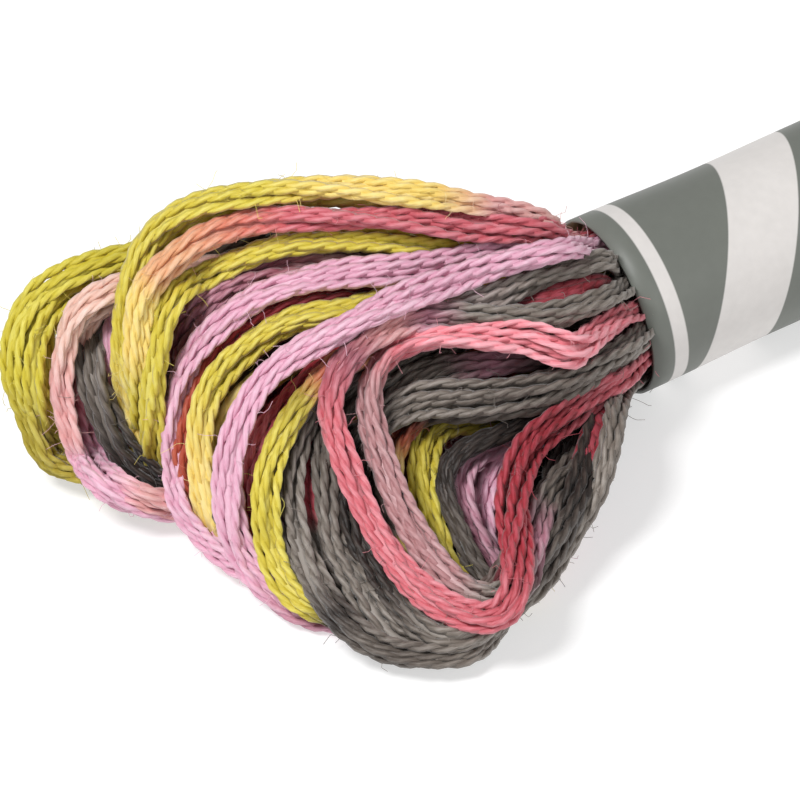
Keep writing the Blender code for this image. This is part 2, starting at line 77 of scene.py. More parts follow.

# The near loops, from the back to the front, with their points listed.
# leaves, enters: where a leg lies in the mouth, its clock angle in degrees from the top, plus to
#   the front, and its depth, 1 against the paper.
# seen: the loop's points, the dot across and the dot down in the view, and the height in mm.
# tail: the hidden way back, the reach from the mouth in mm, the heading off the band's axis in
#   degrees, plus to the back, and the height in mm.
# dyes, opens: the colour, and how loose the strands lie, each at a share of the floss's length
#   or beside a dot of the view.
nearLoops = {
    "backLoops": [
        dict(leaves=(-80, 1), enters=(-145, 1),
             seen=[(330, 240, 7.8), (225, 242, 8), (160, 250, 8.2), (110, 262, 8.2), (72, 276, 7.9),
                   (40, 298, 7.2), (19, 328, 6.2), (13, 359, 5.2), (16, 388, 4.2), (25, 414, 3.2),
                   (35, 442, 2.2), (50, 466, 1.2), (74, 477, 0.8), (98, 485, 0.65), (120, 491, 0.65)],
             tail=[(16, 10, 0.65)],
             dyes=[(0, "peach"), (0.2, "citron"), (19, 328, "citron"), (16, 388, "citron"),
                   (35, 442, "olive"), (74, 477, "olive"), (1, "gold")]),
        dict(leaves=(-70, 0.8), enters=(-150, 0.7),
             seen=[(330, 250, 7.2), (225, 254, 7.4), (150, 266, 7.4), (100, 280, 7.4), (60, 299, 7.2),
                   (39, 328, 6.3), (33, 358, 5.4), (33, 388, 4.4), (39, 414, 3.3), (50, 440, 2.1),
                   (68, 461, 1.2), (95, 476, 0.8)],
             tail=[(17, 10, 0.65), (13, 8, 0.7)],
             dyes=[(0, "beige"), (0.25, "olive"), (39, 328, "citron"), (33, 388, "citron"),
                   (50, 440, "olive"), (0.9, "lemon")]),
        dict(leaves=(-90, 0.8), enters=(-130, 0.9),
             seen=[(330, 250, 6.6), (225, 250, 6.9), (150, 258, 6.8), (90, 272, 6.4), (62, 292, 5.6),
                   (43, 326, 4.6), (38, 360, 3.4), (44, 400, 1.9)],
             tail=[(19, 17, 0.8), (12, 15, 0.7)],
             dyes=[(0, "beige"), (0.3, "lemon"), (0.8, "olive"), (1, "olive")]),
        dict(leaves=(-62, 0.9), enters=(-158, 1),
             seen=[(330, 256, 7.4), (225, 266, 7.8), (165, 276, 8.1), (125, 286, 8.2), (97, 298, 8),
                   (76, 315, 7.4), (66, 340, 6.4), (61, 365, 5.4), (60, 388, 4.5), (64, 412, 3.5),
                   (70, 436, 2.6), (80, 460, 1.6), (97, 482, 1.8), (120, 498, 1.6), (146, 507, 1.3),
                   (172, 511, 0.9)],
             tail=[(13.5, 1, 0.65)],
             dyes=[(0, "rose"), (0.2, "blush"), (125, 286, "sand"), (66, 340, "sand"), (61, 388, "blush"),
                   (70, 436, "blush"), (80, 460, "lilac"), (1, "lilac")]),
        dict(leaves=(-62, 0.6), enters=(-165, 0.7),
             seen=[(330, 262, 6.8), (225, 274, 7.1), (165, 284, 7.4), (125, 294, 7.4), (100, 306, 7),
                   (84, 322, 6.4), (76, 348, 5.5), (74, 388, 4.1), (80, 412, 3.1), (88, 436, 2.1),
                   (101, 460, 1.3), (122, 484, 1.9), (146, 497, 1.6), (170, 504, 1.2)],
             tail=[(13, 0, 0.65)],
             dyes=[(0, "rose"), (0.3, "beige"), (84, 322, "sand"), (74, 388, "rose"), (88, 436, "lilac"),
                   (122, 484, "lilac"), (146, 497, "blush"), (1, "mauve")]),
        dict(leaves=(-60, 0.4), enters=(-140, 0.6),
             seen=[(330, 266, 5.8), (225, 282, 5.9), (150, 294, 6.2), (114, 306, 6.2), (98, 326, 6),
                   (92, 352, 5.5), (94, 388, 4.5), (102, 412, 3.6), (111, 436, 2.8), (126, 460, 2),
                   (145, 478, 1.4), (165, 490, 1.1)],
             tail=[(12, 4, 1.4)],
             dyes=[(0, "mauve"), (0.3, "slate"), (114, 306, "grey"), (92, 352, "grey"), (102, 412, "slate"),
                   (126, 460, "umberShade"), (1, "umberShade")]),
        dict(leaves=(-50, 0.5), enters=(-170, 0.4),
             seen=[(330, 272, 5.6), (225, 290, 5.8), (150, 299, 5.9), (122, 308, 6.2), (112, 330, 6),
                   (110, 352, 5.5), (111, 376, 4.7), (116, 400, 3.7), (127, 432, 2.6), (150, 462, 1.6)],
             tail=[(12, 1, 2)],
             dyes=[(0, "crimson"), (0.3, "mauve"), (122, 308, "lilac"), (111, 376, "lilac"),
                   (127, 432, "mauve"), (0.8, "crimson"), (1, "maroon")],
             opens=[(225, 290, 1), (112, 330, 0.5), (111, 376, 0.5), (150, 462, 1)]),
    ],
    "topLoops": [
        dict(leaves=(-45, 1), enters=(-172, 1),
             seen=[(540, 221, 8.8), (480, 205, 10.4), (420, 196, 11.4), (357, 190, 11.9), (302, 189, 12),
                   (247, 195, 11.8), (200, 206, 11.2), (168, 222, 10.4), (144, 246, 9.5), (130, 275, 8.7),
                   (122, 308, 7.7), (120, 340, 6.8), (121, 365, 5.9), (126, 390, 4.8), (135, 430, 3),
                   (146, 464, 1.8), (170, 488, 0.9)],
             tail=[(12, 2, 0.65)],
             dyes=[(0, "rose"), (0.08, "beige"), (480, 205, "blush"), (420, 196, "gold"),
                   (330, 190, "gold"), (247, 195, "lemon"), (120, 345, "lemon"), (135, 430, "gold"),
                   (1, "lemon")],
             opens=[(144, 246, 1), (122, 308, 0.65), (121, 365, 0.65), (135, 430, 0.9), (170, 488, 1)]),
        dict(leaves=(-38, 0.85), enters=(-178, 0.7),
             seen=[(540, 226, 8), (480, 211, 9.4), (420, 204, 10.4), (357, 199, 10.9), (302, 199, 11),
                   (250, 206, 10.7), (205, 219, 10.1), (172, 238, 9.2), (150, 264, 8.2), (136, 296, 6.9),
                   (130, 330, 5.6), (128, 370, 4), (136, 420, 2.3)],
             tail=[(13.5, 3, 0.9), (10, 2, 0.8)],
             dyes=[(0, "coral"), (0.1, "peach"), (420, 204, "gold"), (302, 199, "olive"),
                   (205, 219, "lemon"), (136, 296, "lemon"), (1, "gold")]),
        dict(leaves=(-33, 1), enters=(180, 0.7),
             seen=[(545, 230, 8.6), (480, 227, 9.8), (420, 222, 10.6), (357, 219, 11), (302, 219, 11.1),
                   (250, 225, 10.8), (218, 234, 10.7), (198, 243, 10.5), (178, 257, 10.2), (160, 272, 9.8),
                   (146, 291, 9.2), (139, 313, 8.3), (136, 338, 7.3), (136, 364, 6.2), (138, 392, 4.8),
                   (143, 430, 2.9), (154, 464, 1), (172, 488, 0.65)],
             tail=[(12, 0, 0.65)],
             dyes=[(0, "crimson"), (0.1, "rose"), (480, 227, "rose"), (357, 219, "rose"),
                   (290, 220, "rose"), (235, 229, "coral"), (178, 257, "peach"), (158, 274, "peach"),
                   (143, 298, "gold"), (136, 350, "gold"), (138, 385, "lemon"), (1, "lemon")],
             opens=[(545, 230, 1), (480, 227, 1.1), (302, 219, 1.1), (218, 234, 1.2), (160, 272, 1.1),
                    (138, 392, 0.95)]),
        dict(leaves=(-48, 0.7), enters=(176, 1),
             seen=[(540, 246, 7.4), (480, 246, 8.4), (420, 244, 9.4), (357, 241, 9.9), (302, 244, 10),
                   (250, 256, 9.7), (218, 269, 9.2), (198, 281, 8.7), (181, 294, 8.9), (170, 313, 8.5),
                   (162, 334, 7.8), (157, 355, 7), (153, 378, 6.1), (151, 404, 5), (150, 434, 3.6),
                   (154, 464, 1.9), (182, 495, 0.9)],
             tail=[(12, -2, 0.65)],
             dyes=[(0, "gold"), (0.15, "lemon"), (0.4, "lemon"), (0.6, "lemon"), (0.72, "gold"),
                   (0.8, "lilac"), (1, "lilac")]),
        dict(leaves=(-40, 0.6), enters=(-150, 0.5),
             seen=[(480, 240, 7.2), (400, 234, 8), (330, 233, 8.4), (262, 240, 8.4), (222, 251, 8),
                   (192, 266, 7.4), (170, 288, 6.4), (156, 320, 5.2)],
             tail=[(16.5, 5, 2.6), (15, 3, 1.2), (10, 1, 1.4)],
             dyes=[(0, "crimson"), (262, 240, "umberShade"), (222, 251, "slate"), (192, 266, "umberShade"),
                   (1, "lilac")]),
        dict(leaves=(-35, 0.5), enters=(-170, 0.4),
             seen=[(480, 262, 7.2), (400, 262, 8.4), (334, 264, 9), (290, 269, 9), (252, 279, 8.8),
                   (222, 293, 8.3), (202, 308, 7.7), (187, 328, 6.7), (177, 352, 5.5)],
             tail=[(15.6, 3, 2.6), (14.5, 0, 1.4), (10, -2, 1.8)],
             dyes=[(0, "rose"), (0.15, "mauve"), (334, 264, "dusk"), (290, 269, "plum"),
                   (222, 293, "mauve"), (187, 328, "plum"), (0.7, "maroon"), (1, "lilac")]),
    ],
    "scaleLoops": [
        dict(leaves=(-22, 0.8), enters=(168, 0.8),
             seen=[(530, 247, 8), (455, 260, 8.8), (392, 270, 9.3), (344, 275, 9.4), (296, 285, 9.4),
                   (253, 301, 8.9), (225, 321, 8.2), (205, 341, 7.3), (189, 364, 6.4), (179, 388, 5.5),
                   (174, 415, 4.6), (171, 445, 3.6), (173, 475, 2.6), (180, 508, 1.6), (199, 534, 0.9),
                   (222, 556, 0.65), (245, 568, 0.65)],
             tail=[(13, -14, 0.65)],
             dyes=[(0, "mauve"), (0.12, "lilac"), (0.5, "lilac"), (0.7, "lilac"), (0.85, "blush"),
                   (1, "mauve")],
             opens=[(392, 270, 1), (296, 285, 0.85), (225, 321, 0.95), (174, 415, 1.15)]),
        dict(leaves=(-20, 0.45), enters=(160, 0.5),
             seen=[(500, 270, 7), (440, 279, 7.6), (387, 285, 8.3), (344, 290, 8.5), (296, 303, 8.4),
                   (260, 322, 7.9), (232, 345, 7.2), (214, 369, 6.3), (203, 393, 5.5), (195, 420, 4.6),
                   (189, 450, 3.6), (188, 474, 2.7)],
             tail=[(16.6, -4, 1), (11, -8, 1.6)],
             dyes=[(0, "crimson"), (387, 285, "wine"), (344, 290, "wine"), (296, 302, "crimson"),
                   (232, 343, "crimson"), (214, 367, "rust"), (188, 450, "rust"), (1, "mauve")]),
        dict(leaves=(-8, 0.7), enters=(158, 1),
             seen=[(500, 282, 7), (440, 293, 7.8), (392, 302, 8.2), (344, 312, 8.4), (299, 320, 8.2),
                   (262, 338, 7.6), (233, 361, 6.9), (216, 382, 6.3), (206, 405, 5.6), (202, 434, 4.7),
                   (202, 462, 3.7), (204, 490, 2.7), (209, 516, 1.7), (220, 540, 0.9), (245, 556, 0.7)],
             tail=[(14, -18, 0.65)],
             dyes=[(0, "olive"), (0.2, "lemon"), (0.4, "lemon"), (216, 382, "lemon"), (202, 462, "gold"),
                   (209, 516, "gold"), (235, 550, "peach"), (1, "lilac")],
             opens=[(344, 312, 1), (299, 320, 1.15), (233, 361, 1.15), (202, 434, 1)]),
        dict(leaves=(-14, 1), enters=(146, 1),
             seen=[(560, 250, 8.9), (507, 262, 9.2), (455, 280, 9.2), (416, 296, 9.3), (380, 311, 9.2),
                   (342, 329, 8.9), (299, 352, 8.3), (268, 376, 7.6), (250, 403, 6.8), (238, 433, 6),
                   (231, 466, 5), (230, 500, 3.9), (233, 532, 2.8), (242, 560, 1.8), (257, 584, 1.2),
                   (275, 603, 0.8), (299, 621, 0.65), (330, 629, 0.65), (358, 630, 0.65), (384, 630, 0.65)],
             tail=[(15.5, -36, 0.65)],
             dyes=[(0, "lilac"), (0.2, "lilac"), (0.45, "lilac"), (233, 532, "lilac"), (257, 584, "lilac"),
                   (299, 621, "mauve"), (330, 629, "lilac"), (356, 630, "slate"), (1, "slate")],
             opens=[(455, 280, 1), (380, 311, 1.15), (250, 403, 1.1), (230, 500, 1.1), (242, 560, 1)]),
        dict(leaves=(0, 0.5), enters=(140, 0.5),
             seen=[(500, 287, 6.2), (420, 322, 6.8), (350, 352, 6.8), (310, 380, 6.4), (284, 405, 5.8),
                   (264, 438, 5), (254, 470, 3.9), (252, 500, 2.8)],
             tail=[(16.8, -15, 1.2), (13, -22, 1.5)],
             dyes=[(0, "maroon"), (350, 352, "crimson"), (284, 405, "crimson"), (264, 438, "rose"),
                   (252, 500, "crimson"), (0.62, "maroon"), (0.68, "mauve"), (1, "mauve")]),
        dict(leaves=(5, 0.65), enters=(138, 0.8),
             seen=[(500, 293, 6.6), (430, 318, 7.2), (370, 350, 7.3), (325, 380, 7), (295, 414, 6.2),
                   (276, 448, 5.3), (266, 480, 4.5), (265, 512, 3.6), (270, 543, 2.5), (280, 571, 1.9),
                   (293, 591, 1.6), (310, 605, 1.4), (329, 613, 1.2), (350, 619, 1), (380, 626, 0.8)],
             tail=[(14.5, -37, 0.65)],
             dyes=[(0, "olive"), (0.25, "olive"), (325, 380, "coral"), (300, 405, "olive"),
                   (276, 448, "lemon"), (270, 543, "lemon"), (310, 605, "lemon"), (334, 614, "umberShade"),
                   (1, "umberShade")]),
    ],
    "rimLoops": [
        dict(leaves=(13, 1), enters=(130, 1),
             seen=[(600, 259, 7.3), (563, 270, 7.7), (528, 281, 7.9), (493, 296, 7.9), (466, 305, 7.8),
                   (430, 318, 7.4), (390, 344, 7), (345, 380, 6.5), (312, 410, 6), (297, 440, 5.2),
                   (289, 472, 4.3), (291, 512, 3.3), (299, 544, 2.6), (308, 571, 2.1), (321, 597, 1.7),
                   (341, 622, 1.3), (368, 643, 0.9), (400, 654, 0.65), (432, 656, 0.65), (462, 652, 0.65),
                   (484, 637, 0.65), (506, 613, 0.65), (530, 588, 0.65), (556, 554, 0.8), (576, 524, 1.4),
                   (592, 496, 2.1), (603, 464, 2.8), (611, 430, 3.3)],
             # the ash at (466, 305) is a painted highlight on this grey floss, and the umber at (330, 610)
             # and the slate at (350, 630) paint the shade on its lower left edge
             dyes=[(0, "slate"), (0.03, "grey"), (528, 281, "grey"), (466, 305, "greyHighlight"), (430, 318, "mauve"),
                   (345, 380, "slate"), (289, 472, "grey"), (308, 571, "grey"), (330, 610, "umberShade"),
                   (350, 630, "slate"), (400, 654, "slate"), (462, 652, "grey"), (506, 613, "grey"),
                   (594, 496, "grey"), (1, "slate")],
             opens=[(345, 380, 1), (300, 432, 1.15), (289, 472, 1.2), (299, 544, 1.1), (368, 643, 1)]),
        dict(leaves=(36, 0.75), enters=(122, 0.75),
             seen=[(605, 303, 5.4), (572, 316, 5.9), (540, 323, 6.2), (500, 328, 6.4), (440, 344, 6.4),
                   (380, 376, 6.2), (345, 408, 5.8), (330, 436, 5.2), (326, 470, 4.4), (329, 505, 3.5),
                   (336, 545, 2.5), (349, 570, 1.9), (362, 594, 1.5), (380, 622, 1.1), (404, 642, 0.9),
                   (436, 647, 0.8), (466, 641, 0.8), (490, 625, 0.8), (515, 596, 0.9), (541, 560, 1.1),
                   (560, 525, 1.6), (575, 492, 2.1), (585, 460, 2.5), (592, 430, 2.8)],
             dyes=[(0, "slate"), (540, 323, "umberShade"), (440, 344, "slate"), (330, 436, "slate"),
                   (336, 545, "grey"), (404, 642, "grey"), (515, 596, "slate"), (560, 525, "umberShade"),
                   (592, 430, "umberShade")]),
        dict(leaves=(72, 0.95), enters=(124, 0.6),
             seen=[(627, 344, 4.9), (594, 363, 5.3), (550, 382, 5.6), (506, 392, 5.8), (462, 397, 5.8),
                   (424, 401, 5.6), (388, 418, 5.2), (362, 450, 4.5), (354, 490, 3.7), (358, 530, 2.9),
                   (368, 556, 2.4), (380, 576, 2), (396, 598, 1.6), (416, 620, 1.3), (442, 634, 1.2),
                   (470, 630, 1.2), (494, 612, 1.2), (516, 585, 1.2), (534, 556, 1.3), (548, 528, 1.5),
                   (562, 498, 1.8), (574, 466, 2.2), (586, 436, 2.6)],
             # the umber from (362, 450) to (380, 576) is painted shade in the gap between the two grey
             # flosses
             dyes=[(0, "slate"), (0.03, "grey"), (506, 392, "slate"), (424, 401, "grey"),
                   (362, 450, "umberShade"), (358, 530, "umberShade"), (380, 576, "umberShade"), (404, 608, "slate"),
                   (442, 634, "grey"), (534, 556, "slate"), (562, 498, "umberShade"), (1, "umberShade")],
             opens=[(627, 344, 1), (506, 392, 1.15), (424, 401, 1.15), (388, 418, 1)]),
        dict(leaves=(86, 0.9), enters=(118, 0.6),
             seen=[(590, 376, 4.4), (545, 398, 4.8), (508, 404, 5), (466, 410, 5.1), (424, 416, 4.9),
                   (400, 440, 4.3), (392, 480, 3.4), (398, 530, 2.5), (415, 580, 1.8), (440, 610, 1.4),
                   (470, 612, 1.4), (500, 590, 1.3), (520, 560, 1.4), (538, 520, 1.6), (552, 486, 1.9),
                   (564, 456, 2.3), (580, 424, 2.7)],
             # the rust at (402, 436) is painted shade, the brownish shadow at the start of the yellow
             # stretch
             dyes=[(0, "grey"), (0.1, "grey"), (466, 410, "slate"), (430, 415, "umberShade"), (402, 436, "rust"),
                   (393, 470, "gold"), (398, 530, "lemon"), (415, 580, "olive"), (440, 610, "umberShade"),
                   (520, 560, "maroon"), (552, 486, "umberShade"), (1, "umberShade")]),
        dict(leaves=(60, 0.6), enters=(150, 0.5),
             seen=[(590, 345, 5.2), (548, 356, 5.7), (495, 362, 6), (450, 368, 6.1), (412, 382, 5.9),
                   (388, 405, 5.4), (376, 450, 4.4), (384, 500, 3.4), (402, 550, 2.4), (430, 590, 1.7),
                   (468, 600, 1.6), (500, 580, 1.5), (522, 540, 1.7)],
             tail=[(6, -46, 2)],
             dyes=[(0, "maroon"), (548, 356, "slate"), (495, 362, "mauve"), (450, 368, "slate"),
                   (412, 382, "grey"), (376, 450, "slate"), (396, 534, "slate"), (401, 547, "gold"),
                   (408, 560, "slate"), (430, 590, "slate"), (1, "maroon")]),
    ],
    "frontLoops": [
        dict(leaves=(32, 1), enters=(96, 1),
             seen=[(607, 296, 6.9), (575, 310, 7.4), (548, 317, 7.7), (512, 319, 8), (472, 319, 8.2),
                   (440, 318, 8.4), (408, 321, 8.5), (384, 332, 8.5), (362, 347, 8.3), (345, 366, 7.8),
                   (334, 386, 7.2), (331, 408, 6.5), (336, 436, 5.7), (346, 464, 5.1), (358, 492, 4.5),
                   (371, 520, 4), (386, 547, 3.5), (404, 573, 3.1), (425, 594, 2.8), (455, 612, 2.5),
                   (482, 618, 2.4), (503, 611, 2.5), (514, 590, 2.9), (515, 562, 3.2), (514, 532, 3.6),
                   (513, 504, 3.9), (516, 474, 4.2), (528, 445, 4.3), (550, 424, 4.3), (572, 407, 4.2),
                   (598, 390, 4), (624, 374, 3.7)],
             # the wine at (545, 428) darkens the leg's upper part as painted shade
             dyes=[(0, "slate"), (548, 317, "grey"), (472, 319, "grey"), (430, 318, "mauve"),
                   (396, 326, "blush"), (355, 353, "plum"), (331, 405, "salmon"), (371, 520, "salmon"),
                   (425, 594, "salmon"), (482, 618, "rose"), (514, 562, "crimson"), (513, 504, "crimson"),
                   (545, 428, "wine"), (598, 390, "rose"), (1, "rose")],
             opens=[(482, 618, 1), (514, 590, 1.15), (514, 532, 1.2), (516, 474, 1.15), (550, 424, 1.1),
                    (598, 390, 1)]),
        dict(leaves=(56, 1), enters=(118, 0.6),
             seen=[(616, 318, 6), (596, 333, 6.4), (585, 343, 6.7), (571, 351, 7), (550, 348, 7.3),
                   (528, 341, 7.6), (506, 339, 7.8), (473, 338, 8), (440, 338, 8.1), (416, 343, 8),
                   (394, 352, 7.8), (379, 367, 7.5), (371, 389, 7), (371, 415, 6.3), (377, 445, 5.5),
                   (386, 474, 4.8), (398, 504, 4.1), (412, 530, 3.5), (430, 556, 2.9), (450, 578, 2.3),
                   (473, 594, 1.9), (499, 597, 1.8), (520, 583, 1.9), (529, 556, 2), (534, 526, 2.2),
                   (542, 500, 2.4)],
             tail=[(7.4, -47, 2.4)],
             dyes=[(0, "crimson"), (616, 318, "rose"), (585, 343, "pink"), (506, 339, "pink"),
                   (440, 338, "pink"), (410, 345, "rose"), (376, 375, "dusk"), (398, 504, "dusk"),
                   (440, 567, "dusk"), (473, 594, "grey"), (499, 597, "slate"), (529, 556, "mauve"),
                   (538, 512, "slate"), (0.9, "umberShade"), (1, "maroon")],
             opens=[(616, 318, 1.05), (588, 340, 1.1), (569, 349, 1.75), (550, 346, 1.75), (528, 341, 1.5),
                    (473, 338, 1.2), (440, 338, 1)]),
        dict(leaves=(100, 0.6), enters=(140, 0.5),
             seen=[(600, 390, 3), (565, 407, 3.5), (532, 421, 3.9), (507, 430, 4), (483, 440, 4.1),
                   (462, 451, 4), (449, 464, 3.8), (445, 481, 3.4), (449, 502, 2.9), (459, 528, 2.3),
                   (468, 550, 1.8), (481, 572, 1.3), (498, 586, 1.1), (516, 578, 1.1), (530, 548, 1.2),
                   (550, 500, 1.5)],
             dyes=[(0, "slate"), (507, 430, "umberShade"), (462, 451, "umberShade"), (445, 481, "umberShade"),
                   (459, 528, "slate"), (1, "umberShade")],
             opens=[(507, 430, 0.6), (445, 481, 0.5), (459, 528, 0.7), (468, 550, 0.9)]),
        dict(leaves=(70, 0.4), enters=(160, 0.5),
             seen=[(560, 378, 3.6), (520, 404, 3.8), (497, 413, 3.9), (470, 419, 4), (446, 424, 3.9),
                   (429, 438, 3.7), (424, 460, 3.3), (424, 490, 2.6), (430, 520, 2), (438, 548, 1.5),
                   (452, 576, 0.9)],
             tail=[(13.5, -41, 0.65), (9, -42, 0.7)],
             dyes=[(0, "olive"), (497, 413, "olive"), (429, 438, "olive"), (424, 480, "lemon"),
                   (430, 520, "lemon"), (0.75, "gold"), (1, "coral")]),
        dict(leaves=(110, 0.4), enters=(165, 0.6),
             seen=[(575, 404, 3.1), (545, 417, 3.2), (512, 433, 3.3), (483, 450, 3.2), (462, 470, 3),
                   (460, 500, 2.5), (471, 530, 1.9), (488, 560, 1.2), (508, 585, 0.65)],
             tail=[(11.5, -46, 0.65), (8, -47, 0.7)],
             dyes=[(0, "crimson"), (545, 417, "lilac"), (512, 433, "lilac"), (471, 530, "mauve"),
                   (0.8, "mauve"), (1, "mauve")]),
        dict(leaves=(125, 0.4), enters=(170, 0.5),
             seen=[(580, 412, 2.6), (552, 429, 2.7), (520, 448, 2.7), (493, 470, 2.5), (482, 501, 2),
                   (486, 540, 1.4), (505, 575, 0.65), (528, 570, 0.65), (548, 530, 0.8)],
             tail=[(7, -50, 1.2)],
             dyes=[(0, "maroon"), (552, 429, "lilac"), (493, 470, "lilac"), (486, 540, "lilac"),
                   (1, "mauve")]),
    ],
    # Flosses deep under the rest, which fill the gaps between them; their umber stretches are painted
    # shade.
    "deepLoops": [
        dict(leaves=(24, 0.5), enters=(165, 0.3),
             seen=[(600, 286, 6.4), (560, 297, 7.1), (530, 302, 7.1), (470, 312, 6.4), (420, 320, 6.6),
                   (380, 330, 6.5), (330, 342, 6.4), (289, 358, 6), (255, 380, 5.2), (232, 410, 4.2),
                   (222, 440, 3.2)],
             tail=[(16.2, -6, 1.2), (11, -6, 1.4)],
             dyes=[(0, "maroon"), (600, 286, "wine"), (560, 297, "wine"), (530, 302, "wine"),
                   (420, 320, "mauve"), (330, 342, "umberShade"), (255, 380, "umberShade"), (232, 410, "olive"),
                   (1, "umberShade")]),
        dict(leaves=(-28, 0.4), enters=(-178, 0.3),
             seen=[(480, 268, 5.6), (400, 278, 6), (330, 292, 6.2), (270, 306, 6.2), (232, 318, 5.8),
                   (203, 332, 5.2), (183, 350, 4.6), (172, 372, 3.8), (166, 402, 2.8)],
             tail=[(16, 2, 1.6), (11, 1, 1.4)],
             dyes=[(0, "umberShade"), (330, 292, "maroon"), (232, 318, "olive"), (172, 372, "olive"),
                   (1, "umberShade")]),
        dict(leaves=(20, 0.4), enters=(150, 0.3),
             seen=[(510, 330, 5.2), (450, 350, 5.4), (400, 366, 5.4), (360, 388, 5.2), (330, 412, 4.8),
                   (312, 448, 4), (308, 488, 3.1), (315, 524, 2.2), (325, 554, 1.6), (339, 581, 1.2)],
             tail=[(16.2, -24, 0.9), (12, -26, 1)],
             dyes=[(0, "slate"), (450, 350, "rust"), (400, 366, "rust"), (330, 412, "umberShade"),
                   (312, 448, "crimson"), (313, 514, "crimson"), (317, 530, "slate"), (1, "umberShade")]),
        dict(leaves=(120, 0.5), enters=(172, 0.5),
             seen=[(575, 420, 1.7), (535, 446, 1.5), (502, 466, 1.3), (478, 484, 1), (468, 520, 0.7),
                   (482, 560, 0.65)],
             tail=[(9, -44, 0.65)],
             dyes=[(0, "maroon"), (535, 448, "lilac"), (480, 490, "lilac"), (1, "maroon")]),
        dict(leaves=(90, 0.3), enters=(175, 0.4),
             seen=[(565, 384, 3), (500, 412, 2.9), (448, 426, 2.7), (410, 438, 2.5), (399, 470, 2),
                   (408, 515, 1.4), (428, 560, 1), (450, 592, 0.65)],
             tail=[(13, -38, 0.65), (8, -40, 0.7)],
             dyes=[(0, "umberShade"), (448, 426, "umberShade"), (399, 470, "rust"), (408, 515, "umberShade"),
                   (1, "umberShade")]),
        dict(leaves=(40, 0.3), enters=(165, 0.2),
             seen=[(540, 338, 4.4), (480, 356, 4.6), (420, 378, 4.6), (382, 410, 4.2), (360, 450, 3.4),
                   (352, 500, 2.7), (357, 540, 2.5), (365, 568, 1.9), (378, 596, 1.67), (395, 618, 1.1)],
             tail=[(15.5, -30, 0.8), (11, -32, 0.7)],
             dyes=[(0, "umberShade"), (480, 356, "rust"), (420, 378, "rust"), (382, 410, "umberShade"),
                   (352, 500, "maroon"), (373, 588, "slate"), (376, 592, "lemon"), (380, 600, "lemon"),
                   (382, 604, "slate"), (1, "umberShade")],
             opens=[(357, 540, 0.7), (371, 584, 0.45), (395, 618, 0.45)]),
        dict(leaves=(112, 0.7), enters=(160, 0.6),
             seen=[(600, 400, 2.9), (594, 430, 2.8), (587, 456, 2.6), (578, 480, 2.2), (566, 502, 1.7),
                   (554, 522, 1.1)],
             tail=[(5.5, -52, 1)],
             dyes=[(0, "wine"), (594, 430, "wine"), (571, 494, "wine"), (562, 509, "umberShade"), (1, "umberShade")]),
        dict(leaves=(-30, 0.3), enters=(178, 0.2),
             seen=[(500, 287, 4.6), (400, 302, 4.9), (320, 322, 4.8), (266, 346, 4.3), (230, 374, 3.6),
                   (208, 408, 2.8), (198, 450, 1.8)],
             tail=[(15, -8, 0.9), (10, -8, 0.8)],
             dyes=[(0, "maroon"), (320, 322, "umberShade"), (230, 374, "maroon"), (1, "lilac")]),
        dict(leaves=(0, 0.3), enters=(165, 0.2),
             seen=[(500, 312, 4.6), (420, 332, 4.8), (345, 360, 5), (291, 388, 4.7), (260, 421, 3.9),
                   (246, 462, 2.8), (246, 505, 1.8), (256, 545, 1)],
             tail=[(14, -22, 0.7), (9, -22, 0.7)],
             dyes=[(0, "umberShade"), (345, 360, "wine"), (260, 421, "crimson"), (246, 505, "maroon"),
                   (1, "mauve")]),
        dict(leaves=(-14, 0.5), enters=(172, 0.3),
             seen=[(500, 300, 5.2), (400, 322, 5.6), (320, 352, 6.4), (272, 374, 6.1), (246, 395, 5.6),
                   (231, 420, 4.8), (225, 450, 3.9), (225, 485, 2.8), (231, 520, 1.7)],
             tail=[(14.5, -16, 0.8), (9, -16, 0.8)],
             dyes=[(0, "umberShade"), (320, 352, "umberShade"), (272, 374, "olive"), (240, 402, "gold"),
                   (225, 450, "olive"), (226, 500, "umberShade"), (1, "lilac")]),
        dict(leaves=(-60, 0.3), enters=(-175, 0.3),
             seen=[(400, 250, 6.2), (300, 256, 6.4), (230, 274, 6), (190, 300, 5.2), (165, 335, 4.2),
                   (152, 380, 3), (150, 430, 1.8)],
             tail=[(15, 6, 0.8), (9, 6, 0.8)],
             dyes=[(0, "umberShade"), (230, 274, "umberShade"), (165, 335, "olive"), (1, "lilac")]),
        dict(leaves=(10, 0.3), enters=(160, 0.2),
             seen=[(500, 330, 4.4), (420, 352, 4.5), (360, 384, 4.3), (322, 420, 3.7), (302, 462, 2.8),
                   (300, 510, 1.8), (314, 558, 1)],
             tail=[(14, -32, 0.7), (9, -32, 0.7)],
             dyes=[(0, "umberShade"), (360, 384, "umberShade"), (302, 462, "maroon"), (314, 558, "umberShade"),
                   (1, "mauve")]),
        dict(leaves=(115, 0.3), enters=(178, 0.5),
             seen=[(590, 418, 1.3), (560, 446, 1), (538, 480, 0.7), (522, 520, 0.65), (500, 554, 0.65),
                   (472, 566, 0.65), (450, 546, 0.65), (440, 515, 0.65)],
             tail=[(9, -40, 0.65)],
             dyes=[(0, "umberShade"), (0.5, "umberShade"), (1, "umberShade")]),
    ],
}


def linear(rgb):
    # from screen values of 0 to 255 to linear light, by the usual screen curve
    out = []
    for value in rgb:
        v = value / 255.0
        out.append(v / 12.92 if v <= 0.04045 else ((v + 0.055) / 1.055) ** 2.4)
    return out


def mouthPoint(place, x):
    # where a leg lies in the band, from its clock angle and depth
    clock, depth = place
    angle = math.radians(clock)
    out = depth * skein["mouthRadius"] * (1.0 if x <= 0.0 else 1.0 - skein["legTaper"] * x)
    return (x, -out * math.sin(angle), skein["axisHeight"] + out * math.cos(angle))


